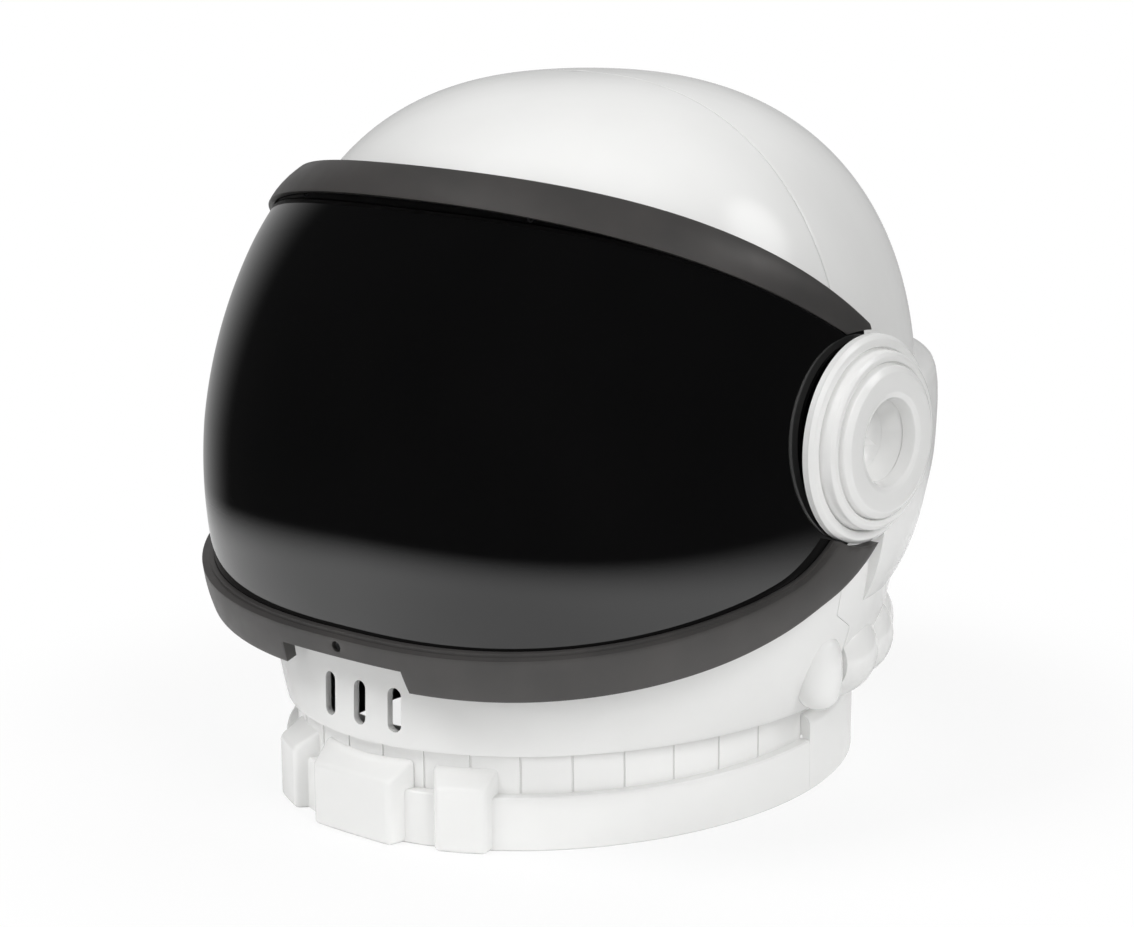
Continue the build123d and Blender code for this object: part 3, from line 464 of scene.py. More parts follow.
@dataclass(frozen=True)
class Finish:
    """One surface finish: patches of two colours, a little wear, and a grain or a weave."""

    name: str
    colour: tuple[float, float, float]
    shade: tuple[float, float, float]
    roughness: float
    roughness_spread: float = 0.04
    patch_scale: float = 30.0
    grain_scale: float = 900.0
    grain_depth: float = 0.02
    specular: float = 0.5
    metallic: float = 0.0
    coat: float = 0.0
    coat_roughness: float = 0.05
    sheen: float = 0.0
    weave_scale: float = 0.0

    def material(self) -> bpy.types.Material:
        """Builds the finish once.

        Returns:
            Its material.
        """
        known = bpy.data.materials.get(self.name)
        if known:
            return known
        made = bpy.data.materials.new(self.name)
        made.use_nodes = True
        tree = made.node_tree
        tree.nodes.clear()
        link = tree.links.new
        out = tree.nodes.new("ShaderNodeOutputMaterial")
        shader = tree.nodes.new("ShaderNodeBsdfPrincipled")
        link(shader.outputs["BSDF"], out.inputs["Surface"])
        shader.inputs["Metallic"].default_value = self.metallic
        shader.inputs["Specular IOR Level"].default_value = self.specular
        shader.inputs["Coat Weight"].default_value = self.coat
        shader.inputs["Coat Roughness"].default_value = self.coat_roughness
        shader.inputs["Sheen Weight"].default_value = self.sheen
        place = tree.nodes.new("ShaderNodeTexCoord").outputs["Object"]
        mix = tree.nodes.new("ShaderNodeMix")
        mix.data_type = "RGBA"
        mix.inputs["A"].default_value = (*self.colour, 1.0)
        mix.inputs["B"].default_value = (*self.shade, 1.0)
        patches = self._noise(tree, place, self.patch_scale, detail=3.0)
        link(span(tree, patches, COLOUR_NOISE, (0.0, 1.0)), mix.inputs["Factor"])
        link(mix.outputs["Result"], shader.inputs["Base Color"])
        wear = self._noise(tree, place, self.patch_scale * WEAR_FINENESS, detail=6.0)
        spread = self.roughness_spread
        polish = (max(self.roughness - spread, SMOOTHEST), self.roughness + spread)
        link(span(tree, wear, POLISH_NOISE, polish), shader.inputs["Roughness"])
        bump = tree.nodes.new("ShaderNodeBump")
        bump.inputs["Strength"].default_value = self.grain_depth
        bump.inputs["Distance"].default_value = GRAIN_HEIGHT
        if self.weave_scale:
            height = self._weave(tree, place)
        else:
            height = self._noise(tree, place, self.grain_scale, detail=2.0)
        link(height, bump.inputs["Height"])
        link(bump.outputs["Normal"], shader.inputs["Normal"])
        return made

    def _noise(
        self, tree: bpy.types.NodeTree, place: bpy.types.NodeSocket, scale: float, detail: float
    ) -> bpy.types.NodeSocket:
        """A noise over the piece's own coordinates.

        Args:
            tree: The material's nodes.
            place: The socket of the coordinates.
            scale: The noise's scale.
            detail: How much finer noise is added to it.

        Returns:
            The socket of its value.
        """
        noise = tree.nodes.new("ShaderNodeTexNoise")
        noise.inputs["Scale"].default_value = scale
        noise.inputs["Detail"].default_value = detail
        tree.links.new(place, noise.inputs["Vector"])
        return noise.outputs["Fac"]

    def _weave(self, tree: bpy.types.NodeTree, place: bpy.types.NodeSocket) -> bpy.types.NodeSocket:
        """Knitted loops as two crossed waves.

        Args:
            tree: The material's nodes.
            place: The socket of the coordinates.

        Returns:
            The socket of their height.
        """
        join = tree.nodes.new("ShaderNodeMath")
        join.operation = "MAXIMUM"
        for way, target in zip(("X", "Z"), join.inputs):
            wave = tree.nodes.new("ShaderNodeTexWave")
            wave.bands_direction = way
            wave.inputs["Scale"].default_value = self.weave_scale
            wave.inputs["Distortion"].default_value = 1.5
            wave.inputs["Detail"].default_value = 1.0
            tree.links.new(place, wave.inputs["Vector"])
            tree.links.new(wave.outputs["Fac"], target)
        return join.outputs["Value"]


GLOSS_WHITE = Finish(
    "gloss_white_moulding", (0.86, 0.86, 0.85), (0.83, 0.83, 0.82), roughness=0.16, roughness_spread=0.03,
    patch_scale=18.0, grain_scale=420.0, grain_depth=0.015, coat=0.35,
)
SMOKE_TINT = Finish(
    "smoke_tint", (0.0016, 0.0016, 0.0017), (0.0024, 0.0023, 0.0024), roughness=0.04, roughness_spread=0.012,
    patch_scale=14.0, grain_scale=300.0, grain_depth=0.004, specular=0.75, coat=0.35,
)
SATIN_GREY = Finish(
    "satin_dark_grey", (0.078, 0.074, 0.072), (0.064, 0.062, 0.061), roughness=0.4,
    patch_scale=40.0, grain_scale=1500.0, grain_depth=0.05, metallic=0.25,
)
MATT_BLACK = Finish(
    "matt_black", (0.03, 0.03, 0.03), (0.022, 0.022, 0.022), roughness=0.5, roughness_spread=0.05
)
ZINC = Finish(
    "zinc_plate", (0.55, 0.55, 0.56), (0.45, 0.45, 0.47), roughness=0.3, roughness_spread=0.08,
    patch_scale=200.0, metallic=1.0,
)
BLACK_SCREW = Finish(
    "black_screw", (0.03, 0.03, 0.032), (0.02, 0.02, 0.02), roughness=0.35, roughness_spread=0.06
)
KNIT = Finish(
    "knitted_cover", (0.05, 0.05, 0.055), (0.035, 0.035, 0.04), roughness=0.85, roughness_spread=0.05,
    grain_depth=0.5, sheen=0.3, weave_scale=260.0,
)


def dress(
    obj: bpy.types.Object, finish: Finish, body: str, slot: str, *nodes: str
) -> bpy.types.Object:
    """Gives a piece its finish, its body and the CAD nodes that it stands for.

    Args:
        obj: The finished piece.
        finish: Its surface.
        body: The CAD body that it rides on.
        slot: The record's material slot; not used.
        nodes: CAD nodes that it replaces.

    Returns:
        The same piece.
    """
    obj.data.materials.clear()
    obj.data.materials.append(finish.material())
    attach(obj, body)
    if nodes:
        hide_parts(*nodes)
    LOG.info("%s: %d faces", obj.name, len(obj.data.polygons))
    return obj


# Shell


def eased(value: np.ndarray, table: Sequence[tuple[float, float]], end_slope: float) -> np.ndarray:
    """Smooth interpolation through a table of (place, size).

    Args:
        value: Places to look up.
        table: The known places and sizes.
        end_slope: The slope wanted at the last place.

    Returns:
        The sizes there.
    """
    places, sizes = np.array(table).T
    steps = np.diff(places)
    chords = np.diff(sizes) / steps
    slopes = np.empty_like(sizes)
    slopes[0] = chords[0]
    slopes[1:-1] = (chords[:-1] * steps[1:] + chords[1:] * steps[:-1]) / (steps[1:] + steps[:-1])
    slopes[-1] = end_slope
    spot = np.clip(np.searchsorted(places, value, side="right") - 1, 0, len(steps) - 1)
    part = np.clip((value - places[spot]) / steps[spot], 0, 1)
    near = (1 + 2 * part) * (1 - part) ** 2 * sizes[spot] + part**2 * (3 - 2 * part) * sizes[spot + 1]
    lean = part * (1 - part) ** 2 * slopes[spot] + part**2 * (part - 1) * slopes[spot + 1]
    return near + lean * steps[spot]


@dataclass(frozen=True)
class HelmetForm:
    """The swollen form that both shell halves follow, in millimetres."""

    half_width: float = 140.0
    belt: float = 147.9
    rise: float = 150.5
    exponent: float = 2.42
    taper_top: float = 134.0
    taper_drop: float = 148.0
    foot: float = 39.5
    front: tuple[tuple[float, float], ...] = (
        (39.5, 141.2), (69.0, 140.2), (80.0, 140.0), (100.0, 138.0), (120.0, 135.0), (147.9, 130.5),
    )
    rear: tuple[tuple[float, float], ...] = (
        (39.5, 128.0), (66.0, 129.5), (85.0, 133.5), (93.0, 138.0),
        (105.0, 144.0), (120.0, 149.5), (134.0, 152.0), (147.9, 152.7),
    )

    def levels(self, inset: float, foot: float, lower: int, upper: int) -> tuple[np.ndarray, np.ndarray]:
        """Heights from the foot to the crown and the share of the belt's size at each.

        Args:
            inset: How far inside the outside.
            foot: The lowest height.
            lower: Rows below the belt.
            upper: Rows above it.

        Returns:
            The heights and the shares.
        """
        low = np.linspace(foot, self.belt, lower, endpoint=False)
        turns = np.radians(np.linspace(0, 90.0, upper))
        power = 2 / self.exponent
        high = self.belt + (self.rise - inset) * np.sin(turns) ** power
        shares = np.cos(turns) ** power
        return np.concatenate([low, high]), np.concatenate([np.ones(lower), shares])

    def width(self, z: np.ndarray) -> np.ndarray:
        """Half the width at heights up to the belt."""
        fall = np.clip(self.taper_top - z, 0, None) / self.taper_drop
        return self.half_width * (1 - fall**self.exponent) ** (1 / self.exponent)

    def reach(self, z: np.ndarray, side: Side) -> np.ndarray:
        """Depth from the widest line to the front or rear."""
        table = self.front if side is Side.FRONT else self.rear
        return eased(np.minimum(z, self.belt), table, 0.0)

    def grid(self, z: np.ndarray, share: np.ndarray, angle: np.ndarray, inset: float) -> np.ndarray:
        """Places on the form.

        Args:
            z: Heights, one a row.
            share: Shares of the belt's size, one a row.
            angle: Turns from +X in radians, rows by columns.
            inset: How far inside the outside.

        Returns:
            Rows by columns by three.
        """
        front = (self.reach(z, Side.FRONT) - inset)[:, None]
        rear = (self.reach(z, Side.REAR) - inset)[:, None]
        reach = np.where(np.sin(angle) > 0, rear, front) * share[:, None]
        width = ((self.width(z) - inset) * share)[:, None]
        flat = np.broadcast_to(z[:, None], angle.shape)
        return np.stack([width * np.cos(angle), reach * np.sin(angle), flat], axis=-1)


@dataclass
class ShellHalf:
    """One moulded half of the shell."""

    side: Side
    form: HelmetForm = HelmetForm()
    wall: float = 3.0
    seam_gap: float = 0.16
    seam_setback: float = 13.0
    step_foot: float = 76.0
    step_top: float = 84.0
    columns: int = 220
    lower_rows: int = 56
    crown_rows: int = 90
    seat_radius: float = 33.0
    seat_back: float = 132.0
    seat_face: float = 140.2
    pocket_radius: float = 30.0
    pocket_face: float = 137.0
    bore_radius: float = 22.5
    neck_half_width: float = 98.0
    neck_half_depth: float = 119.0
    neck_setback: float = 6.8
    floor_inset: float = 1.5
    floor_stations: int = 161
    core_span: tuple[float, float] = (20.0, 130.0)
    core_columns: int = 220

    def seam(self, z: np.ndarray) -> np.ndarray:
        """Where the seam lies in Y at each height."""
        return np.interp(z, (self.step_foot, self.step_top), (self.seam_setback, 0.0))

    def skin(self, inset: float) -> np.ndarray:
        """The half's surface, from seam to seam and from the foot to the crown.

        Args:
            inset: How far inside the outside.

        Returns:
            Rows by columns by three.
        """
        z, share = self.form.levels(inset, self.form.foot, self.lower_rows, self.crown_rows)
        edge = self.seam(z) + self.side.value * self.seam_gap
        rear = (self.form.reach(z, Side.REAR) - inset) * share
        front = (self.form.reach(z, Side.FRONT) - inset) * share
        reach = np.maximum(np.where(edge > 0, rear, front), TINY)
        # Near the crown the seam would pass the end of the row, so its turn stops just short of it.
        first = np.arcsin(np.clip(edge / reach, -0.99, 0.99))
        last = self.side.value * np.pi - first
        part = np.linspace(0, 1, self.columns)[None, :]
        angle = first[:, None] * (1 - part) + last[:, None] * part
        return self.form.grid(z, share, angle, inset)

    def raw(self, name: str) -> bpy.types.Object:
        """The wall of the half with its floor and its two ear seats.

        Args:
            name: The piece's name.

        Returns:
            The closed piece.
        """
        piece = wall(name, self.skin(0.0), self.skin(self.wall))
        ease_edges(piece, width=0.45, angle=50.0)
        carve(piece, Cut.UNITE, self.floor())
        self.ear_seats(piece)
        return piece

    def ear_seats(self, piece: bpy.types.Object) -> None:
        """Adds the round seat at each ear, with its pocket and bore.

        Args:
            piece: The half to change.
        """
        for sign in EARS:
            seat = drum("seat", self.seat_radius, sign * self.seat_back, sign * self.seat_face)
            carve(seat, Cut.KEEP_COMMON, between(*sorted((0.0, self.side.value * FAR))))
            carve(piece, Cut.UNITE, seat)
        cut_at_ears(piece, self.pocket_radius, self.pocket_face)
        cut_at_ears(piece, self.bore_radius)

    def floor(self) -> bpy.types.Object:
        """The flat floor round the neck hole, under this half.

        Returns:
            Half a ring.
        """
        low, high = self.form.foot, self.form.foot + self.wall
        foot = np.array([low])
        edge = self.seam(foot)[0] + self.side.value * self.seam_gap
        reach = self.form.reach(foot, Side.REAR if edge > 0 else Side.FRONT)[0]
        outer = math.asin(edge / (reach - self.floor_inset))
        inner = math.asin((edge + self.neck_setback) / self.neck_half_depth)
        rings = []
        for share in np.linspace(0, 1, self.floor_stations):
            turn = outer + share * (self.side.value * math.pi - 2 * outer)
            x, y, _ = self.form.grid(foot, np.ones(1), np.array([[turn]]), self.floor_inset)[0, 0]
            turn = inner + share * (self.side.value * math.pi - 2 * inner)
            hole = (
                self.neck_half_width * math.cos(turn),
                self.neck_half_depth * math.sin(turn) - self.neck_setback,
            )
            rings.append([(x, y, low), (x, y, high), (*hole, high), (*hole, low)])
        return sweep("floor", np.array(rings))

    def core(self, inset: float) -> bpy.types.Object:
        """The solid inside the lower shell, which trims what is laid on the wall.

        Args:
            inset: How far inside the outside.

        Returns:
            The closed solid.
        """
        heights = np.linspace(*self.core_span, self.lower_rows)
        turns = np.linspace(-np.pi, np.pi, self.core_columns, endpoint=False)
        angle = np.broadcast_to(turns, (self.lower_rows, self.core_columns))
        return sweep("core", self.form.grid(heights, np.ones(self.lower_rows), angle, inset))


@dataclass
class FrontShell(ShellHalf):
    """The front half, with the face opening, the chin vents and the two lobes that end the neck roll."""

    side: Side = Side.FRONT
    face: tuple[tuple[float, float], ...] = ((-46.0, 218.8), (-46.0, 115.1), (-170.0, 88.5), (-170.0, 283.1))
    face_corner: float = 12.0
    vent_width: float = 6.5
    vent_foot: float = 45.5
    vent_top: float = 64.0
    vent_pitch: float = 18.0
    vent_steps: int = 32
    vent_cut: tuple[float, float] = (-160.0, -100.0)
    lobe_height: float = 59.0
    lobe_half: float = 16.5
    lobe_radius: float = 10.0
    lobe_thinning: float = 0.25
    lobe_bluntness: float = 7.0
    lobe_tip: float = 0.02
    lobe_sink: float = 1.0
    lobe_y: float = -0.5
    lobe_root: float = 1.6
    lobe_rows: int = 33
    lobe_sides: int = 40

    def end_lobes(self, piece: bpy.types.Object) -> None:
        """Adds the upright lobe at each lower end of the half, where the neck roll stops.

        Args:
            piece: The half to change.
        """
        middle = float(self.form.width(np.array([self.lobe_height]))[0]) - self.lobe_sink
        for sign in EARS:
            rings = []
            for along in np.linspace(-1, 1, self.lobe_rows):
                radius = self.lobe_radius * (1 - self.lobe_thinning * along**2)
                radius = radius * math.sqrt(1 - abs(along) ** self.lobe_bluntness) + self.lobe_tip
                rim = oval(radius, radius, sign * middle, self.lobe_y, self.lobe_sides)
                rings.append([(x, y, self.lobe_height + self.lobe_half * along) for x, y in rim])
            lobe = sweep("lobe", np.array(rings))
            carve(lobe, Cut.TAKE_AWAY, self.core(self.lobe_root))
            carve(piece, Cut.UNITE, lobe)

    def vent_tool(self, x: float) -> bpy.types.Object:
        """One upright slot with round ends, cut along Y.

        Args:
            x: The slot's middle.

        Returns:
            The cutter.
        """
        radius = self.vent_width / 2
        outline = []
        for start, z in ((0.0, self.vent_top - radius), (math.pi, self.vent_foot + radius)):
            for turn in np.linspace(start, start + math.pi, self.vent_steps + 1):
                outline.append((x + radius * math.cos(turn), z + radius * math.sin(turn)))
        return peg("vent", outline, *self.vent_cut)

    def build(self) -> bpy.types.Object:
        """Builds and dresses the half.

        Returns:
            The finished piece.
        """
        piece = self.raw("white_front_shell")
        self.end_lobes(piece)
        carve(piece, Cut.TAKE_AWAY, prism("face", rounded(self.face, self.face_corner), -FAR, FAR))
        for place in (-1, 0, 1):
            carve(piece, Cut.TAKE_AWAY, self.vent_tool(place * self.vent_pitch))
        smooth(piece)
        return dress(piece, GLOSS_WHITE, SHELL_BODY, "shell_white", "front_shell")


@dataclass
class RearShell(ShellHalf):
    """The rear half, with the raised band behind the ears and the neck roll."""

    side: Side = Side.REAR
    core_columns: int = 240
    growth: tuple[tuple[float, float], ...] = (
        (86.0, 0.3), (90.0, 1.6), (97.0, 3.4), (106.0, 4.8), (120.0, 6.2), (134.0, 8.0), (147.9, 8.8),
        (159.0, 9.2), (168.0, 9.0), (172.5, 8.2), (175.5, 6.0), (177.0, 1.2),
    )
    growth_end: float = -4.0
    hollow: tuple[float, float] = (97.0, 172.0)
    band_rows: int = 90
    band_columns: int = 160
    band_start: float = 20.0
    knob_room: float = 45.0
    root: float = 1.4
    roll_root: float = 1.5
    roll_height: float = 59.0
    roll_radius: float = 19.0
    roll_end_radius: float = 14.0
    roll_proud: float = 8.5
    roll_count: int = 12
    roll_start: float = 13.0
    roll_pitch: float = 14.0
    roll_overlap: float = 1.06
    roll_steps: int = 25
    roll_sides: int = 40
    roll_front: float = 13.2

    def band(self, low: float, high: float, shrink: float = 0.0) -> bpy.types.Object:
        """The raised band, or its hollow.

        Args:
            low: Its lowest height.
            high: Its highest.
            shrink: How far inside the band's outside the hollow stays, or zero for the band.

        Returns:
            The closed form.
        """
        z = np.linspace(low, high, self.band_rows)
        grow = eased(z, self.growth, self.growth_end) - shrink
        lift = np.clip((z - self.form.belt) / self.form.rise, 0, 1)
        share = (1 - lift**self.form.exponent) ** (1 / self.form.exponent)
        start = self.band_start + shrink
        first = np.arcsin(start / (self.form.reach(z, Side.REAR) * share))[:, None]
        part = np.linspace(0, 1, self.band_columns)[None, :]
        angle = first * (1 - part) + (np.pi - first) * part
        inside = np.full_like(z, self.root + shrink)
        piece = wall(
            "band", self.form.grid(z, share, angle, -grow), self.form.grid(z, share, angle, inside)
        )
        cut_at_ears(piece, self.knob_room + shrink)
        if not shrink:
            ease_edges(piece, width=1.6, angle=55.0, segments=3)
        return piece

    def barrel(self) -> bpy.types.Object:
        """One lump of the neck roll, a unit long, about the frame's origin.

        Returns:
            The lump.
        """
        rings = []
        for along in np.linspace(-1, 1, self.roll_steps):
            radius = self.roll_end_radius + (self.roll_radius - self.roll_end_radius) * (1 - along**2)
            rings.append([(along / 2, y, z) for y, z in oval(radius, radius, 0.0, 0.0, self.roll_sides)])
        return about_origin("barrel", np.array(rings))

    def roll(self) -> bpy.types.Object:
        """The row of soft lumps round the back of the neck, cut off at the wall and the seam.

        Returns:
            The lumps as one mesh.
        """
        width = float(self.form.width(np.array([self.roll_height]))[0])
        reach = float(self.form.reach(np.array([self.roll_height]), Side.REAR)[0])
        back = self.roll_proud - self.roll_radius
        half = math.radians(self.roll_pitch) / 2
        spots, turns, stretches = [], [], []
        for k in range(self.roll_count):
            turn = math.radians(self.roll_start + self.roll_pitch * k)
            facing = math.atan2(math.sin(turn) / reach, math.cos(turn) / width)
            spots.append((
                width * math.cos(turn) + back * math.cos(facing),
                reach * math.sin(turn) + back * math.sin(facing),
                self.roll_height,
            ))
            length = math.hypot(
                width * (math.cos(turn - half) - math.cos(turn + half)),
                reach * (math.sin(turn - half) - math.sin(turn + half)),
            )
            turns.append(facing + math.pi / 2)
            stretches.append((length * self.roll_overlap, 1.0, 1.0))
        row = Repeat("neck_roll", tuple(spots), tuple(turns), tuple(stretches))
        lumps = row.lay(self.barrel(), GLOSS_WHITE)
        carve(
            lumps, Cut.TAKE_AWAY, self.core(self.roll_root), between(-FAR, self.roll_front), crossing=True
        )
        return lumps

    def build(self) -> bpy.types.Object:
        """Builds and dresses the half.

        Returns:
            The finished piece.
        """
        piece = self.raw("white_rear_shell")
        carve(piece, Cut.UNITE, self.band(self.growth[0][0], self.growth[-1][0]))
        carve(piece, Cut.TAKE_AWAY, self.band(*self.hollow, shrink=self.wall))
        carve(piece, Cut.UNITE, self.roll())
        smooth(piece)
        return dress(piece, GLOSS_WHITE, SHELL_BODY, "shell_white", "rear_shell")


# Collar


@dataclass
class CollarHalf:
    """Half of the ring under the helmet, with the wall that reaches into the neck.

    The section's corners are (inset from the oval, Z): outside from the foot to the ledge or shoulder, then
    the neck wall and its flange, then the inside.
    """

    side: Side
    outside: tuple[tuple[float, float], ...] = ()
    neck: tuple[tuple[float, float], ...] = (
        (5.0, 39.0), (5.4, 39.4), (17.0, 39.4), (17.0, 36.4), (8.0, 36.4),
    )
    wall: float = 4.0
    neck_inside: float = 8.0
    step: float = 19.5
    foot_edge: float = 0.6
    half_width: float = 115.0
    half_depth: float = 136.0
    setback: float = 6.8
    seam: float = 13.0
    gap: float = 0.05
    stations: int = 181
    screw_turns: tuple[float, ...] = (25.0, 65.0, 115.0, 155.0, 205.0, 245.0, 295.0, 335.0)
    screw_inset: float = 12.5
    screw_hole: float = 1.52
    screw_span: tuple[float, float] = (30.0, 60.0)

    def section(self) -> tuple[tuple[float, float], ...]:
        """The ring's section as (inset, Z)."""
        step = ((self.neck_inside, self.step), (self.wall, self.step))
        return self.outside + self.neck + step + ((self.wall, 0.0), (self.foot_edge, 0.0))

    def at(self, inset: float, share: float) -> tuple[float, float]:
        """A place on the half ring.

        Args:
            inset: How far inside the oval.
            share: The share of the way from seam to seam.

        Returns:
            The place as (X, Y).
        """
        a, b = self.half_width - inset, self.half_depth - inset
        edge = self.seam + self.side.value * self.gap
        first = math.asin((edge + self.setback) / b)
        turn = first + share * (self.side.value * math.pi - 2 * first)
        return a * math.cos(turn), b * math.sin(turn) - self.setback

    def ring(self, name: str) -> bpy.types.Object:
        """The plain half ring.

        Args:
            name: The piece's name.

        Returns:
            The closed piece.
        """
        rings = []
        for share in np.linspace(0, 1, self.stations):
            rings.append([(*self.at(inset, share), z) for inset, z in self.section()])
        return sweep(name, np.array(rings))

    def hollow(self, inset: float, top: float) -> bpy.types.Object:
        """The whole oval as a solid from under the foot to a height.

        Args:
            inset: How far inside the ring's outside.
            top: The height.

        Returns:
            The cutter.
        """
        rim = oval(self.half_width - inset, self.half_depth - inset, 0.0, -self.setback, steps=240)
        return column("hollow", rim, -FAR, top)

    def drill(self, piece: bpy.types.Object) -> None:
        """Drills the holes of the collar screws in this half.

        Args:
            piece: The half to change.
        """
        for turn in self.screw_turns:
            x = (self.half_width - self.screw_inset) * math.cos(math.radians(turn))
            y = (self.half_depth - self.screw_inset) * math.sin(math.radians(turn)) - self.setback
            if (y > self.seam) == (self.side is Side.REAR):
                rim = oval(self.screw_hole, self.screw_hole, x, y, steps=32)
                carve(piece, Cut.TAKE_AWAY, column("screw_hole", rim, *self.screw_span))


@dataclass
class FrontCollar(CollarHalf):
    """The front of the ring, with its three blocks and the grooves above the ledge."""

    side: Side = Side.FRONT
    outside: tuple[tuple[float, float], ...] = (
        (0.0, 0.6), (0.0, 21.0), (0.3, 21.9), (0.9, 22.4), (1.6, 22.5), (5.0, 22.5),
    )
    centre_width: float = 42.6
    side_width: float = 21.0
    side_turn: float = 24.0
    proud: float = 4.6
    height: float = 26.3
    back_height: float = 34.5
    back_depth: float = 13.0
    spread: float = 3.5
    bow: float = 0.5
    block_rows: int = 9
    easing: float = 1.9
    groove_turns: tuple[float, ...] = tuple(float(v) for v in range(-85, 86, 10))
    groove_inset: float = 5.0
    groove_foot: float = 22.6
    groove_height: float = 40.0
    groove_half: float = 0.5
    groove_depth: float = 0.6

    def block(self, width: float, turn: float) -> bpy.types.Object:
        """One block with soft edges, set square to the ring.

        Args:
            width: Its width in front.
            turn: Where it stands, in degrees from the front.

        Returns:
            The block, trimmed to the ring's inside.
        """
        a, b = self.half_width, self.half_depth
        x, y = a * math.sin(math.radians(turn)), -b * math.cos(math.radians(turn))
        facing = math.atan2(x / a**2, -y / b**2)
        half, wide = width / 2, width / 2 + self.spread
        rings = []
        for across in np.linspace(-1, 1, self.block_rows):
            bow = self.bow * (1 - across**2)
            row = (
                (across * half, -bow, 0.0),
                (across * half, -bow, self.height + bow),
                (across * wide, self.back_depth, self.back_height + bow),
                (across * wide, self.back_depth, 0.0),
            )
            rings.append([
                (
                    x + px * math.cos(facing) - (py - self.proud) * math.sin(facing),
                    y - self.setback + px * math.sin(facing) + (py - self.proud) * math.cos(facing),
                    pz,
                )
                for px, py, pz in row
            ])
        piece = sweep("block", np.array(rings))
        ease_edges(piece, self.easing, segments=4)
        carve(
            piece, Cut.TAKE_AWAY, self.hollow(self.wall, self.step), self.hollow(self.neck_inside, FAR)
        )
        return piece

    def grooves(self) -> bpy.types.Object:
        """The upright cutters round the neck wall.

        Returns:
            The cutters as one mesh.
        """
        half, deep = self.groove_half, self.groove_depth
        rim = ((half, deep), (-half, deep), (-half, -deep), (half, -deep))
        bar = [[(x, y, z) for x, y in rim] for z in (0.0, self.groove_height)]
        spots, turns = [], []
        for turn in self.groove_turns:
            angle = math.radians(turn)
            spots.append((
                (self.half_width - self.groove_inset) * math.sin(angle),
                -(self.half_depth - self.groove_inset) * math.cos(angle) - self.setback,
                self.groove_foot,
            ))
            turns.append(angle)
        row = Repeat("neck_grooves", tuple(spots), tuple(turns), ((1.0, 1.0, 1.0),) * len(turns))
        return row.lay(about_origin("bar", np.array(bar)), GLOSS_WHITE)

    def build(self) -> bpy.types.Object:
        """Builds and dresses the front of the ring.

        Returns:
            The finished piece.
        """
        piece = self.ring("white_front_collar")
        carve(piece, Cut.TAKE_AWAY, self.grooves())
        carve(piece, Cut.UNITE, self.block(self.centre_width, 0.0))
        for sign in EARS:
            carve(piece, Cut.UNITE, self.block(self.side_width, sign * self.side_turn))
        self.drill(piece)
        smooth(piece, angle=30.0)
        return dress(piece, GLOSS_WHITE, SHELL_BODY, "shell_white", "front_collar")


@dataclass
class RearCollar(CollarHalf):
    """The rear of the ring, straight up to a rounded shoulder."""

    side: Side = Side.REAR
    outside: tuple[tuple[float, float], ...] = (
        (0.0, 0.6), (0.0, 28.2), (0.35, 30.0), (1.3, 31.6), (2.8, 32.7), (4.4, 33.0), (5.0, 33.0),
    )
    step: float = 24.0

    def build(self) -> bpy.types.Object:
        """Builds and dresses the rear of the ring.

        Returns:
            The finished piece.
        """
        piece = self.ring("white_rear_collar")
        self.drill(piece)
        smooth(piece, angle=30.0)
        return dress(piece, GLOSS_WHITE, SHELL_BODY, "shell_white", "rear_collar")


# Visor

# How many times a search halves its range, and where along Y the search on the peak's planes starts.
HALVINGS = 60
PLANE_FRONT = -230.0
# The room that the peak and the chin band leave round a knob.
KNOB_ROOM = 43.5


@dataclass(frozen=True)
class VisorForm:
    """The visor's swollen form: over the face about the ear axis, below about a lower one."""

    radius: float = 145.0
    half: float = 147.2
    offset: float = 50.0
    turn: float = 35.0
    squareness: tuple[tuple[float, float], ...] = ((125.0, 2.38), (150.0, 2.45), (172.0, 2.52))

    def place(self, part: np.ndarray, phi: np.ndarray, grow: np.ndarray) -> np.ndarray:
        """Places on the form.

        Args:
            part: From the left ear at 0 to the right ear at 1; past them the ear plates go on.
            phi: Turn in degrees from the rear over the top.
            grow: Distance outside the lens.

        Returns:
            Places with a last axis of three.
        """
        part, phi, grow = np.broadcast_arrays(part, phi, grow)
        power = 2 / np.interp(phi, *zip(*self.squareness))
        angle = np.pi * np.clip(part, 0, 1)
        x = (self.half + grow) * np.sign(np.cos(angle)) * np.abs(np.cos(angle)) ** power
        radius = (self.radius + grow) * np.abs(np.sin(angle)) ** power
        beyond = np.maximum(-part, part - 1)
        radius = np.where(beyond > 0, -self.radius * beyond, radius)
        join = 180 - self.turn
        cy = self.offset * math.cos(math.radians(self.turn))
        cz = EAR_HEIGHT - self.offset * math.sin(math.radians(self.turn))
        low = phi > join
        reach = np.where(low, radius + self.offset, np.maximum(radius, 0))
        turn = np.radians(phi)
        y = np.where(low, cy, 0.0) + reach * np.cos(turn)
        z = np.where(low, cz, EAR_HEIGHT) + reach * np.sin(turn)
        return np.stack([x, y, z], axis=-1)

    def meet(self, part: float, grow: float, edge: "EdgeLine", start: float, end: float) -> float:
        """Finds where the form crosses an edge line.

        Args:
            part: The place between the ears.
            grow: Distance outside the lens.
            edge: The line, seen from the side.
            start: A turn above it.
            end: A turn below it.

        Returns:
            The turn at which they cross.
        """
        for _ in range(HALVINGS):
            middle = (start + end) / 2
            point = self.place(np.array(part), np.array(middle), np.array(grow))
            if point[2] > edge.height(point[1]):
                start = middle
            else:
                end = middle
        return (start + end) / 2


@dataclass(frozen=True)
class EdgeLine:
    """An edge seen from the side, as a smooth line through (Y, Z)."""

    corners: tuple[tuple[float, float], ...]

    def height(self, y: float) -> float:
        """The height of the edge at Y."""
        return float(eased(np.array([y]), self.corners, self.end_slope())[0])

    def end_slope(self) -> float:
        """The slope of its last run."""
        (y0, z0), (y1, z1) = self.corners[-2:]
        return (z1 - z0) / (y1 - y0)


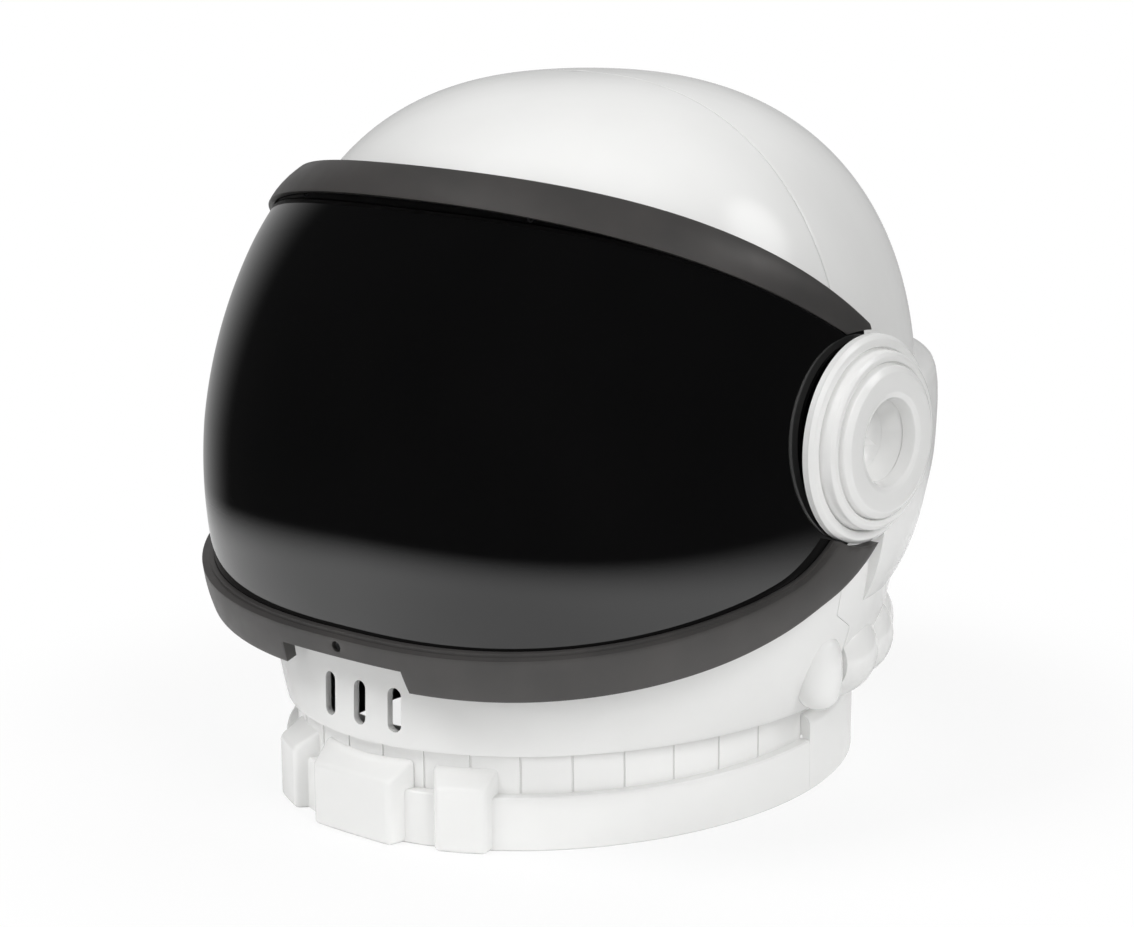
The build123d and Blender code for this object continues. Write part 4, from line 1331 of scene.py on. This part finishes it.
@dataclass
class Lens:
    """The tinted shield with its ear plates."""

    form: VisorForm = VisorForm()
    wall: float = 2.2
    plate_radius: float = 40.0
    plate_sink: float = 0.01
    bore_radius: float = 24.06
    outline: tuple[tuple[float, float], ...] = (
        (-190.0, 304.9), (8.0, 202.4), (8.0, 126.0), (-18.0, 114.5), (-34.0, 107.5), (-50.0, 102.0),
        (-66.0, 97.7), (-190.0, 67.6),
    )
    first_turn: float = 84.0
    join_gap: float = 0.01
    last_turn: float = 242.0
    upper_rows: int = 60
    lower_rows: int = 130
    columns: int = 261

    def skin(self, grow: float) -> np.ndarray:
        """The whole swell, over the face and below it.

        Args:
            grow: How far outside the shield.

        Returns:
            Rows by columns by three.
        """
        join = 180.0 - self.form.turn
        upper = np.linspace(self.first_turn, join, self.upper_rows)
        lower = np.linspace(join + self.join_gap, self.last_turn, self.lower_rows)
        part = np.linspace(0, 1, self.columns)[None, :]
        return self.form.place(part, np.concatenate([upper, lower])[:, None], np.array(grow))

    def build(self) -> bpy.types.Object:
        """Builds and dresses the shield.

        Returns:
            The finished piece.
        """
        piece = wall("tinted_shield", self.skin(0.0), self.skin(-self.wall))
        carve(piece, Cut.KEEP_COMMON, prism("outline", self.outline, -FAR, FAR))
        inner, outer = self.form.half - self.wall, self.form.half - self.plate_sink
        for sign in EARS:
            carve(piece, Cut.UNITE, drum("plate", self.plate_radius, sign * inner, sign * outer))
        cut_at_ears(piece, self.bore_radius)
        smooth(piece, angle=40.0)
        return dress(piece, SMOKE_TINT, VISOR_BODY, "visor_tint", "visor_lens")


@dataclass(frozen=True)
class TiltedForm:
    """Where a swollen form about the ear axis meets a tilted, slightly bent plane."""

    radius: float
    half: float
    squareness: float

    def grown(self, grow: float) -> "TiltedForm":
        """The same form a distance further out."""
        return TiltedForm(self.radius + grow, self.half + grow, self.squareness)

    def edge(self, height: float, slope: float, bend: float, end: float, count: int) -> np.ndarray:
        """The line from ear to ear on the plane z = height + slope y + bend y squared.

        Args:
            height: The plane's height at Y = 0.
            slope: Its slope there.
            bend: How it curves.
            end: The Y at which the line ends beside the ears.
            count: How many places.

        Returns:
            Places, count by three.
        """
        lift = height - EAR_HEIGHT
        last_reach = math.hypot(end, lift + slope * end + bend * end**2)
        last = math.acos(min(last_reach / self.radius, 1.0) ** (self.squareness / 2))
        share = np.linspace(-1, 1, count)
        turn = last * np.abs(share)
        reach = self.radius * np.cos(turn) ** (2 / self.squareness)
        x = self.half * np.sin(turn) ** (2 / self.squareness) * np.sign(share)
        # The plane is nearest to the ear axis somewhere between its front end and the ears. That place is
        # closed in on first, by thirds, and then the one in front of it at which the form has its reach.
        low, valley = np.full(count, PLANE_FRONT), np.full(count, end)
        for _ in range(HALVINGS):
            third = (valley - low) / 3
            left, right = low + third, valley - third
            near_left = np.hypot(left, lift + slope * left + bend * left**2)
            near_right = np.hypot(right, lift + slope * right + bend * right**2)
            low = np.where(near_left > near_right, left, low)
            valley = np.where(near_left > near_right, valley, right)
        low, high = np.full(count, PLANE_FRONT), (low + valley) / 2
        for _ in range(HALVINGS):
            middle = (low + high) / 2
            outside = np.hypot(middle, lift + slope * middle + bend * middle**2) > reach
            low = np.where(outside, middle, low)
            high = np.where(outside, high, middle)
        y = (low + high) / 2
        return np.stack([x, y, height + slope * y + bend * y**2], axis=-1)


@dataclass
class Brim:
    """The hollow satin peak over the shield.

    A plane is (height, slope, bend). Shares count from its lower to its upper edge, for the outer face, the
    rib that closes its top, the hollow behind the face, the rail on the shield and the lip under it.
    """

    low_plane: tuple[float, float, float] = (198.1, -0.6183, -0.0009)
    high_plane: tuple[float, float, float] = (210.4, -0.8225, -0.0025)
    low_form: TiltedForm = TiltedForm(radius=150.9, half=147.8, squareness=2.34)
    high_form: TiltedForm = TiltedForm(radius=151.0, half=151.0, squareness=2.16)
    rib_form: TiltedForm = TiltedForm(radius=143.2, half=140.6, squareness=2.26)
    seat_form: TiltedForm = TiltedForm(radius=145.2, half=147.4, squareness=2.42)
    face: tuple[float, ...] = (0.0, 0.05, 0.15, 0.3, 0.5, 0.7, 0.85, 0.95, 1.0)
    rib: tuple[float, ...] = (1.0, 0.9)
    hollow: tuple[float, ...] = (0.9, 0.7, 0.5, 0.36)
    rail: tuple[float, ...] = (0.36, 0.05)
    lip: tuple[float, ...] = (0.05, 0.0)
    skin: float = 2.3
    bulge: float = 0.8
    end: float = 6.0
    stations: int = 121

    def plane(self, share: float) -> tuple[float, float, float]:
        """The tilted plane at a share from the lower to the upper edge."""
        return tuple(a + (b - a) * share for a, b in zip(self.low_plane, self.high_plane))

    def outer(self, share: float) -> TiltedForm:
        """The outer face's form, a little crowned between its edges.

        Args:
            share: The share from the lower to the upper edge.

        Returns:
            The form there.
        """
        low, high = self.low_form, self.high_form
        crown = self.bulge * 4 * share * (1 - share)
        return TiltedForm(
            low.radius + (high.radius - low.radius) * share + crown,
            low.half + (high.half - low.half) * share + crown,
            low.squareness + (high.squareness - low.squareness) * share,
        )

    def section(self) -> list[tuple[float, TiltedForm]]:
        """The hooked section.

        Returns:
            The share and the form at each corner.
        """
        made = [(share, self.outer(share)) for share in self.face]
        made += [(share, self.rib_form) for share in self.rib]
        made += [(share, self.outer(share).grown(-self.skin)) for share in self.hollow]
        made += [(share, self.seat_form) for share in self.rail]
        return made + [(share, self.outer(share).grown(-self.skin)) for share in self.lip]

    def build(self) -> bpy.types.Object:
        """Builds and dresses the peak.

        Returns:
            The finished piece.
        """
        lines = [form.edge(*self.plane(share), self.end, self.stations) for share, form in self.section()]
        piece = sweep("satin_brim", np.stack(lines, axis=1))
        cut_at_ears(piece, KNOB_ROOM)
        ease_edges(piece, width=0.7, angle=35.0, segments=3)
        smooth(piece, angle=30.0)
        return dress(piece, SATIN_GREY, VISOR_BODY, "frame_grey", "visor_brim")


@dataclass
class ChinBand:
    """The satin band under the shield, with its notch and its thin inner lip."""

    form: VisorForm = VisorForm()
    proud: float = 5.2
    crown: float = 0.35
    seat: float = 0.15
    lip_proud: float = 2.2
    lip_rise: float = 1.7
    upper: EdgeLine = EdgeLine((
        (-190.0, 76.95), (-130.0, 89.85), (-80.0, 100.6), (-58.0, 105.6), (-40.0, 111.0), (-25.0, 119.5),
        (-12.0, 130.0), (10.0, 150.0),
    ))
    lower: EdgeLine = EdgeLine((
        (-190.0, 56.6), (-130.0, 71.2), (-66.0, 87.2), (-50.0, 92.0), (-34.0, 97.6), (-18.0, 103.2),
        (-4.0, 110.4), (10.0, 121.0),
    ))
    turns: tuple[float, float] = (140.0, 262.0)
    ear_end: float = 0.09
    end_stations: int = 6
    stations: int = 181
    face_steps: int = 10
    notch_top: float = 76.5
    notch_foot: float = 20.0
    notch_half: float = 33.0
    notch_lean: float = 4.0 / 30.0
    notch_cut: tuple[float, float] = (-220.0, -60.0)
    sink_radius: float = 2.4
    sink_cut: tuple[float, float] = (-175.0, -146.0)

    def ring(self, part: float) -> np.ndarray:
        """The band's section at one place.

        Args:
            part: The place between the ears.

        Returns:
            The section's points.
        """
        upper = self.form.meet(part, self.proud, self.upper, *self.turns)
        lower = self.form.meet(part, self.proud, self.lower, *self.turns)
        inner = upper - math.degrees(self.lip_rise / (self.form.radius + self.form.offset))
        section = [
            (lower + (upper - lower) * share, self.proud + self.crown * math.sin(math.pi * share))
            for share in np.linspace(0, 1, self.face_steps + 1)
        ]
        section += [(upper, self.lip_proud), (inner, self.lip_proud), (inner, self.seat), (lower, self.seat)]
        phi, grow = np.array(section).T
        return self.form.place(np.array(part), phi, grow)

    def notch(self) -> bpy.types.Object:
        """The cutter of the notch, wider below.

        Returns:
            The cutter.
        """
        top, low, half = self.notch_top, self.notch_foot, self.notch_half
        wide = half + self.notch_lean * (top - low)
        return peg("notch", ((-half, top), (half, top), (wide, low), (-wide, low)), *self.notch_cut)

    def sink(self) -> bpy.types.Object:
        """The cutter of the hole over the chin screw's head.

        Returns:
            The cutter.
        """
        low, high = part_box("chin_screw")
        z = ((low + high) / 2 / MM).z
        return peg("sink", oval(self.sink_radius, self.sink_radius, 0.0, z, steps=32), *self.sink_cut)

    def build(self) -> bpy.types.Object:
        """Builds and dresses the band.

        Returns:
            The finished piece.
        """
        past = np.linspace(0, self.ear_end, self.end_stations + 1)[1:]
        parts = np.concatenate([-past[::-1], np.linspace(0, 1, self.stations), 1 + past])
        piece = sweep("satin_chin_band", np.array([self.ring(float(part)) for part in parts]))
        carve(piece, Cut.TAKE_AWAY, self.notch())
        cut_at_ears(piece, KNOB_ROOM)
        carve(piece, Cut.TAKE_AWAY, self.sink())
        ease_edges(piece, width=0.6, angle=38.0)
        smooth(piece, angle=30.0)
        return dress(piece, SATIN_GREY, VISOR_BODY, "frame_grey", "visor_chin_band")


@dataclass
class BrimScrews:
    """The three screws of the peak, their tips kept under its skin."""

    form: VisorForm = VisorForm()
    reach: float = 0.3
    squareness: float = 2.4
    span: float = 0.8
    steps: int = 81
    root: float = 60.0

    def tip_limit(self) -> bpy.types.Object:
        """The solid that holds what may be seen of the screws, just past the shield.

        Returns:
            The solid.
        """
        half, radius = self.form.half + self.reach, self.form.radius + self.reach
        places = np.linspace(-self.span * half, self.span * half, self.steps)
        rim = radius * (1 - (np.abs(places) / half) ** self.squareness) ** (1 / self.squareness)
        profile = [*zip(places, rim), (places[-1], self.root), (places[0], self.root)]
        return lathe("tip_limit", profile)

    def build(self) -> bpy.types.Object:
        """Trims and dresses the screws.

        Returns:
            The finished piece.
        """
        piece = merged_copy("brim_screws", "black_brim_screws")
        carve(piece, Cut.KEEP_COMMON, self.tip_limit())
        smooth(piece, angle=28.0)
        return dress(piece, BLACK_SCREW, VISOR_BODY, "screw_dark", "brim_screws")


# Ear knobs


@dataclass
class Knob:
    """A stepped white ear knob with a deep round eye; its corners are (X, radius) from rim to eye."""

    sign: int
    node: str
    rim: tuple[tuple[float, float], ...] = ((147.6, 42.0), (147.9, 42.5))
    corners: tuple[tuple[float, float], ...] = (
        (150.2, 42.5), (152.0, 40.6), (152.2, 37.4), (150.9, 36.7), (156.6, 35.9), (157.8, 34.2),
        (157.8, 32.2), (156.4, 31.5), (159.4, 30.8), (161.1, 28.2), (161.1, 20.4), (160.2, 18.0),
        (155.0, 16.2),
    )
    eye: tuple[float, float] = (147.6, 12.3)
    easing: float = 0.45

    def build(self) -> bpy.types.Object:
        """Turns and dresses the knob.

        Returns:
            The finished piece.
        """
        profile = [*self.rim, *rounded(self.corners, self.easing, steps=5), self.eye]
        name = self.node.replace("ear_knob", "stepped_knob")
        piece = lathe(name, [(self.sign * x, radius) for x, radius in profile])
        smooth(piece, angle=40.0)
        return dress(piece, GLOSS_WHITE, SHELL_BODY, "shell_white", self.node)


# Stage


@dataclass(frozen=True)
class Lamp:
    """A square soft lamp that looks at the helmet: its place and side in metres, its power in watts."""

    name: str
    spot: tuple[float, float, float]
    size: float
    power: float
    target: tuple[float, float, float] = (0.0, 0.0, 0.14)

    def build(self) -> None:
        """Hangs the lamp, unseen in the gloss."""
        data = bpy.data.lights.new(self.name, "AREA")
        data.shape = "SQUARE"
        data.size = self.size
        data.energy = self.power
        obj = bpy.data.objects.new(self.name, data)
        aim = Vector(self.target) - Vector(self.spot)
        turn = aim.to_track_quat("-Z", "Y").to_matrix().to_4x4()
        obj.matrix_world = Matrix.Translation(Vector(self.spot)) @ turn
        obj.visible_glossy = False
        bpy.context.scene.collection.objects.link(obj)


@dataclass(frozen=True)
class Lobe:
    """A bright patch of the room: its direction, the degrees between which it fades, its strength."""

    direction: tuple[float, float, float]
    near: float
    far: float
    strength: float


@dataclass(frozen=True)
class Studio:
    """The camera, the pale floor and the soft light."""

    eye: tuple[float, float, float] = (0.77165, -0.91892, 0.40540)
    azimuth: float = 40.46
    elevation: float = 13.03
    roll: float = -0.48
    lens_mm: float = 89.55
    sensor_mm: float = 36.0
    farthest: float = 20.0
    floor_radius: float = 0.62
    floor_steps: int = 96
    floor_colour: tuple[float, float, float] = (0.9, 0.9, 0.9)
    floor_roughness: float = 0.9
    floor_specular: float = 0.1
    whiteness: float = 0.82
    white_fade: tuple[float, float] = (0.16, 0.34)
    rim_fade: tuple[float, float] = (0.62, 0.98)
    dimness: float = 0.03
    lobes: tuple[Lobe, ...] = (
        Lobe((-0.65, 0.76, 0.05), near=20.0, far=60.0, strength=0.5),
        Lobe((0.62, 0.46, 0.63), near=5.0, far=15.0, strength=3.0),
    )
    lamps: tuple[Lamp, ...] = (
        Lamp("key_lamp", (-0.7, -1.2, 1.9), size=1.2, power=31.5),
        Lamp("fill_lamp", (1.8, -0.3, 1.2), size=1.3, power=28.5),
        Lamp("front_lamp", (0.2, -2.0, 0.4), size=1.2, power=10.0),
        Lamp("rear_lamp", (-0.6, 2.1, 1.3), size=1.4, power=20.0),
    )

    def camera(self) -> None:
        """Puts the camera where the photograph was taken from."""
        a, e, r = (math.radians(v) for v in (self.azimuth, self.elevation, self.roll))
        back = Vector((math.sin(a) * math.cos(e), -math.cos(a) * math.cos(e), math.sin(e)))
        right = Vector((math.cos(a), math.sin(a), 0))
        up = back.cross(right)
        right, up = right * math.cos(r) + up * math.sin(r), up * math.cos(r) - right * math.sin(r)
        data = bpy.data.cameras.new("photo_view")
        data.lens = self.lens_mm
        data.sensor_width = self.sensor_mm
        data.sensor_fit = "HORIZONTAL"
        data.clip_end = self.farthest
        camera = bpy.data.objects.new("photo_view", data)
        turn = Matrix((right, up, back)).transposed().to_4x4()
        camera.matrix_world = Matrix.Translation(Vector(self.eye)) @ turn
        bpy.context.scene.collection.objects.link(camera)
        bpy.context.scene.camera = camera

    def floor(self) -> None:
        """Lays a round pale table that fades out at its rim."""
        rim = oval(self.floor_radius, self.floor_radius, 0.0, 0.0, self.floor_steps)
        mesh = bpy.data.meshes.new("pale_floor")
        mesh.from_pydata([(x, y, 0.0) for x, y in rim], [], [tuple(range(len(rim)))])
        mesh.materials.append(self.floor_finish())
        obj = bpy.data.objects.new("pale_floor", mesh)
        bpy.context.scene.collection.objects.link(obj)

    def floor_finish(self) -> bpy.types.Material:
        """The floor's surface: white to the camera away from the helmet, and clear at the rim.

        Returns:
            The material.
        """
        made = bpy.data.materials.new("pale_floor")
        made.use_nodes = True
        tree = made.node_tree
        link = tree.links.new
        shader = tree.nodes["Principled BSDF"]
        shader.inputs["Base Color"].default_value = (*self.floor_colour, 1.0)
        shader.inputs["Roughness"].default_value = self.floor_roughness
        shader.inputs["Specular IOR Level"].default_value = self.floor_specular
        glow = tree.nodes.new("ShaderNodeEmission")
        glow.inputs["Color"].default_value = (1.0, 1.0, 1.0, 1.0)
        glow.inputs["Strength"].default_value = 1.0
        length = tree.nodes.new("ShaderNodeVectorMath")
        length.operation = "LENGTH"
        link(tree.nodes.new("ShaderNodeTexCoord").outputs["Object"], length.inputs[0])
        away = length.outputs["Value"]
        white = span(tree, away, self.white_fade, (self.whiteness, 1.0), soft=True)
        rim = tuple(self.floor_radius * share for share in self.rim_fade)
        share = tree.nodes.new("ShaderNodeMath")
        share.operation = "MULTIPLY"
        link(tree.nodes.new("ShaderNodeLightPath").outputs["Is Camera Ray"], share.inputs[0])
        link(white, share.inputs[1])
        mix = tree.nodes.new("ShaderNodeMixShader")
        link(share.outputs["Value"], mix.inputs["Fac"])
        link(shader.outputs["BSDF"], mix.inputs[1])
        link(glow.outputs["Emission"], mix.inputs[2])
        edge = tree.nodes.new("ShaderNodeMixShader")
        link(span(tree, away, rim, (0.0, 1.0), soft=True), edge.inputs["Fac"])
        link(mix.outputs["Shader"], edge.inputs[1])
        link(tree.nodes.new("ShaderNodeBsdfTransparent").outputs["BSDF"], edge.inputs[2])
        link(edge.outputs["Shader"], tree.nodes["Material Output"].inputs["Surface"])
        return made

    def sky(self) -> None:
        """A dim room, white to the camera, with a bright wall behind the helmet and a soft light over it."""
        world = bpy.data.worlds.new("dim_room")
        world.use_nodes = True
        bpy.context.scene.world = world
        tree = world.node_tree
        tree.nodes.clear()
        link = tree.links.new
        place = tree.nodes.new("ShaderNodeTexCoord").outputs["Generated"]
        level = None
        for lobe in self.lobes:
            dot = tree.nodes.new("ShaderNodeVectorMath")
            dot.operation = "DOT_PRODUCT"
            dot.inputs[1].default_value = Vector(lobe.direction).normalized()
            link(place, dot.inputs[0])
            fade = (math.cos(math.radians(lobe.far)), math.cos(math.radians(lobe.near)))
            bright = span(tree, dot.outputs["Value"], fade, (0.0, lobe.strength), soft=True)
            add = tree.nodes.new("ShaderNodeMath")
            add.operation = "ADD"
            add.inputs[1].default_value = self.dimness
            link(bright, add.inputs[0])
            if level is not None:
                link(level, add.inputs[1])
            level = add.outputs["Value"]
        room = tree.nodes.new("ShaderNodeBackground")
        link(level, room.inputs["Strength"])
        white = tree.nodes.new("ShaderNodeBackground")
        white.inputs["Color"].default_value = (1.0, 1.0, 1.0, 1.0)
        mix = tree.nodes.new("ShaderNodeMixShader")
        link(tree.nodes.new("ShaderNodeLightPath").outputs["Is Camera Ray"], mix.inputs["Fac"])
        link(room.outputs["Background"], mix.inputs[1])
        link(white.outputs["Background"], mix.inputs[2])
        out = tree.nodes.new("ShaderNodeOutputWorld")
        link(mix.outputs["Shader"], out.inputs["Surface"])

    def build(self) -> None:
        """Sets up the whole studio."""
        self.camera()
        self.floor()
        self.sky()
        for lamp in self.lamps:
            lamp.build()
        bpy.context.scene.view_settings.view_transform = "Standard"


# Hardware


@dataclass(frozen=True)
class CarriedNode:
    """A CAD node whose shape is right: its triangles merged, its edges sharp, newly finished."""

    node: str
    finish: Finish
    slot: str
    body: str = SHELL_BODY

    def build(self) -> bpy.types.Object:
        """Copies, shades and dresses the node.

        Returns:
            The finished piece.
        """
        piece = merged_copy(self.node, "finished_" + self.node)
        smooth(piece, angle=28.0)
        return dress(piece, self.finish, self.body, self.slot, self.node)


PAIRS = (
    ("ear_hub", GLOSS_WHITE, "shell_white"),
    ("friction_washer", MATT_BLACK, "washer"),
    ("hub_screws", ZINC, "screw_steel"),
    ("knob_screws", ZINC, "screw_steel"),
)
CARRIED = (
    CarriedNode("chin_screw", BLACK_SCREW, "screw_dark", VISOR_BODY),
    *(
        CarriedNode(f"{ear}_{kind}", finish, slot)
        for kind, finish, slot in PAIRS for ear in ("left", "right")
    ),
    CarriedNode("shell_screws", ZINC, "screw_steel"),
    CarriedNode("collar_screws", ZINC, "screw_steel"),
)


# Pads


@dataclass(frozen=True)
class Pad:
    """A foam pad in a knitted cover, swollen by a cloth run from its CAD solid."""

    node: str
    name: str
    shrink: float = 0.9
    voxel: float = 5.0
    pressure: float = 4.0
    quality: int = 6
    cap: float = 4.0
    frames: int = 20

    def build(self) -> bpy.types.Object:
        """Returns:
            The finished piece.
        """
        piece = merged_copy(self.node, self.name)
        low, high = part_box(self.node)
        middle = (low + high) / 2
        for vertex in piece.data.vertices:
            vertex.co = middle + (vertex.co - middle) * self.shrink
        grid = piece.modifiers.new("grid", "REMESH")
        grid.mode = "VOXEL"
        grid.voxel_size = self.voxel * MM
        settle(piece)
        self.swell(piece)
        finer = piece.modifiers.new("finer", "SUBSURF")
        finer.levels = 1
        finer.render_levels = 1
        settle(piece)
        smooth(piece, angle=180.0)
        dress(piece, KNIT, SHELL_BODY, "pad", self.node)
        return piece

    def swell(self, piece: bpy.types.Object) -> None:
        """Blows the cover up under gentle pressure and caps how far it goes.

        Args:
            piece: The pad's even mesh.
        """
        start = np.array([v.co[:] for v in piece.data.vertices])
        cloth = piece.modifiers.new("cover", "CLOTH")
        cloth.settings.use_pressure = True
        cloth.settings.uniform_pressure_force = self.pressure
        cloth.settings.effector_weights.gravity = 0.0
        cloth.settings.quality = self.quality
        scene = bpy.context.scene
        for frame in range(1, self.frames + 1):
            scene.frame_set(frame)
        swollen = piece.evaluated_get(bpy.context.evaluated_depsgraph_get())
        end = np.array([v.co[:] for v in swollen.to_mesh().vertices])
        swollen.to_mesh_clear()
        piece.modifiers.clear()
        move = end - start
        length = np.linalg.norm(move, axis=1, keepdims=True)
        move *= np.minimum(1.0, self.cap * MM / np.maximum(length, TINY))
        for vertex, place in zip(piece.data.vertices, start + move):
            vertex.co = place
        scene.frame_set(1)


def main() -> None:
    """Builds the studio and every piece in order, and notes the sizes."""
    logging.basicConfig(level=logging.INFO, format="%(name)s %(message)s")
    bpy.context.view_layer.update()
    Studio().build()
    FrontShell().build()
    RearShell().build()
    FrontCollar().build()
    RearCollar().build()
    Lens().build()
    Brim().build()
    ChinBand().build()
    BrimScrews().build()
    Knob(1, "left_ear_knob").build()
    Knob(-1, "right_ear_knob").build()
    for carried in CARRIED:
        carried.build()
    Pad("crown_pad", "crown_pad_cushion").build()
    Pad("nape_pad", "nape_pad_cushion").build()


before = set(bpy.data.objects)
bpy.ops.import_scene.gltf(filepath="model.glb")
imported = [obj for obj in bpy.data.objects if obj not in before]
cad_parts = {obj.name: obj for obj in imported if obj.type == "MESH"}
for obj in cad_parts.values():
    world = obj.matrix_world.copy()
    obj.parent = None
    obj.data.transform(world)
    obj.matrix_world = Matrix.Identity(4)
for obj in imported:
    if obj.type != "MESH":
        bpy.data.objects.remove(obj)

if __name__ == "__main__":
    main()
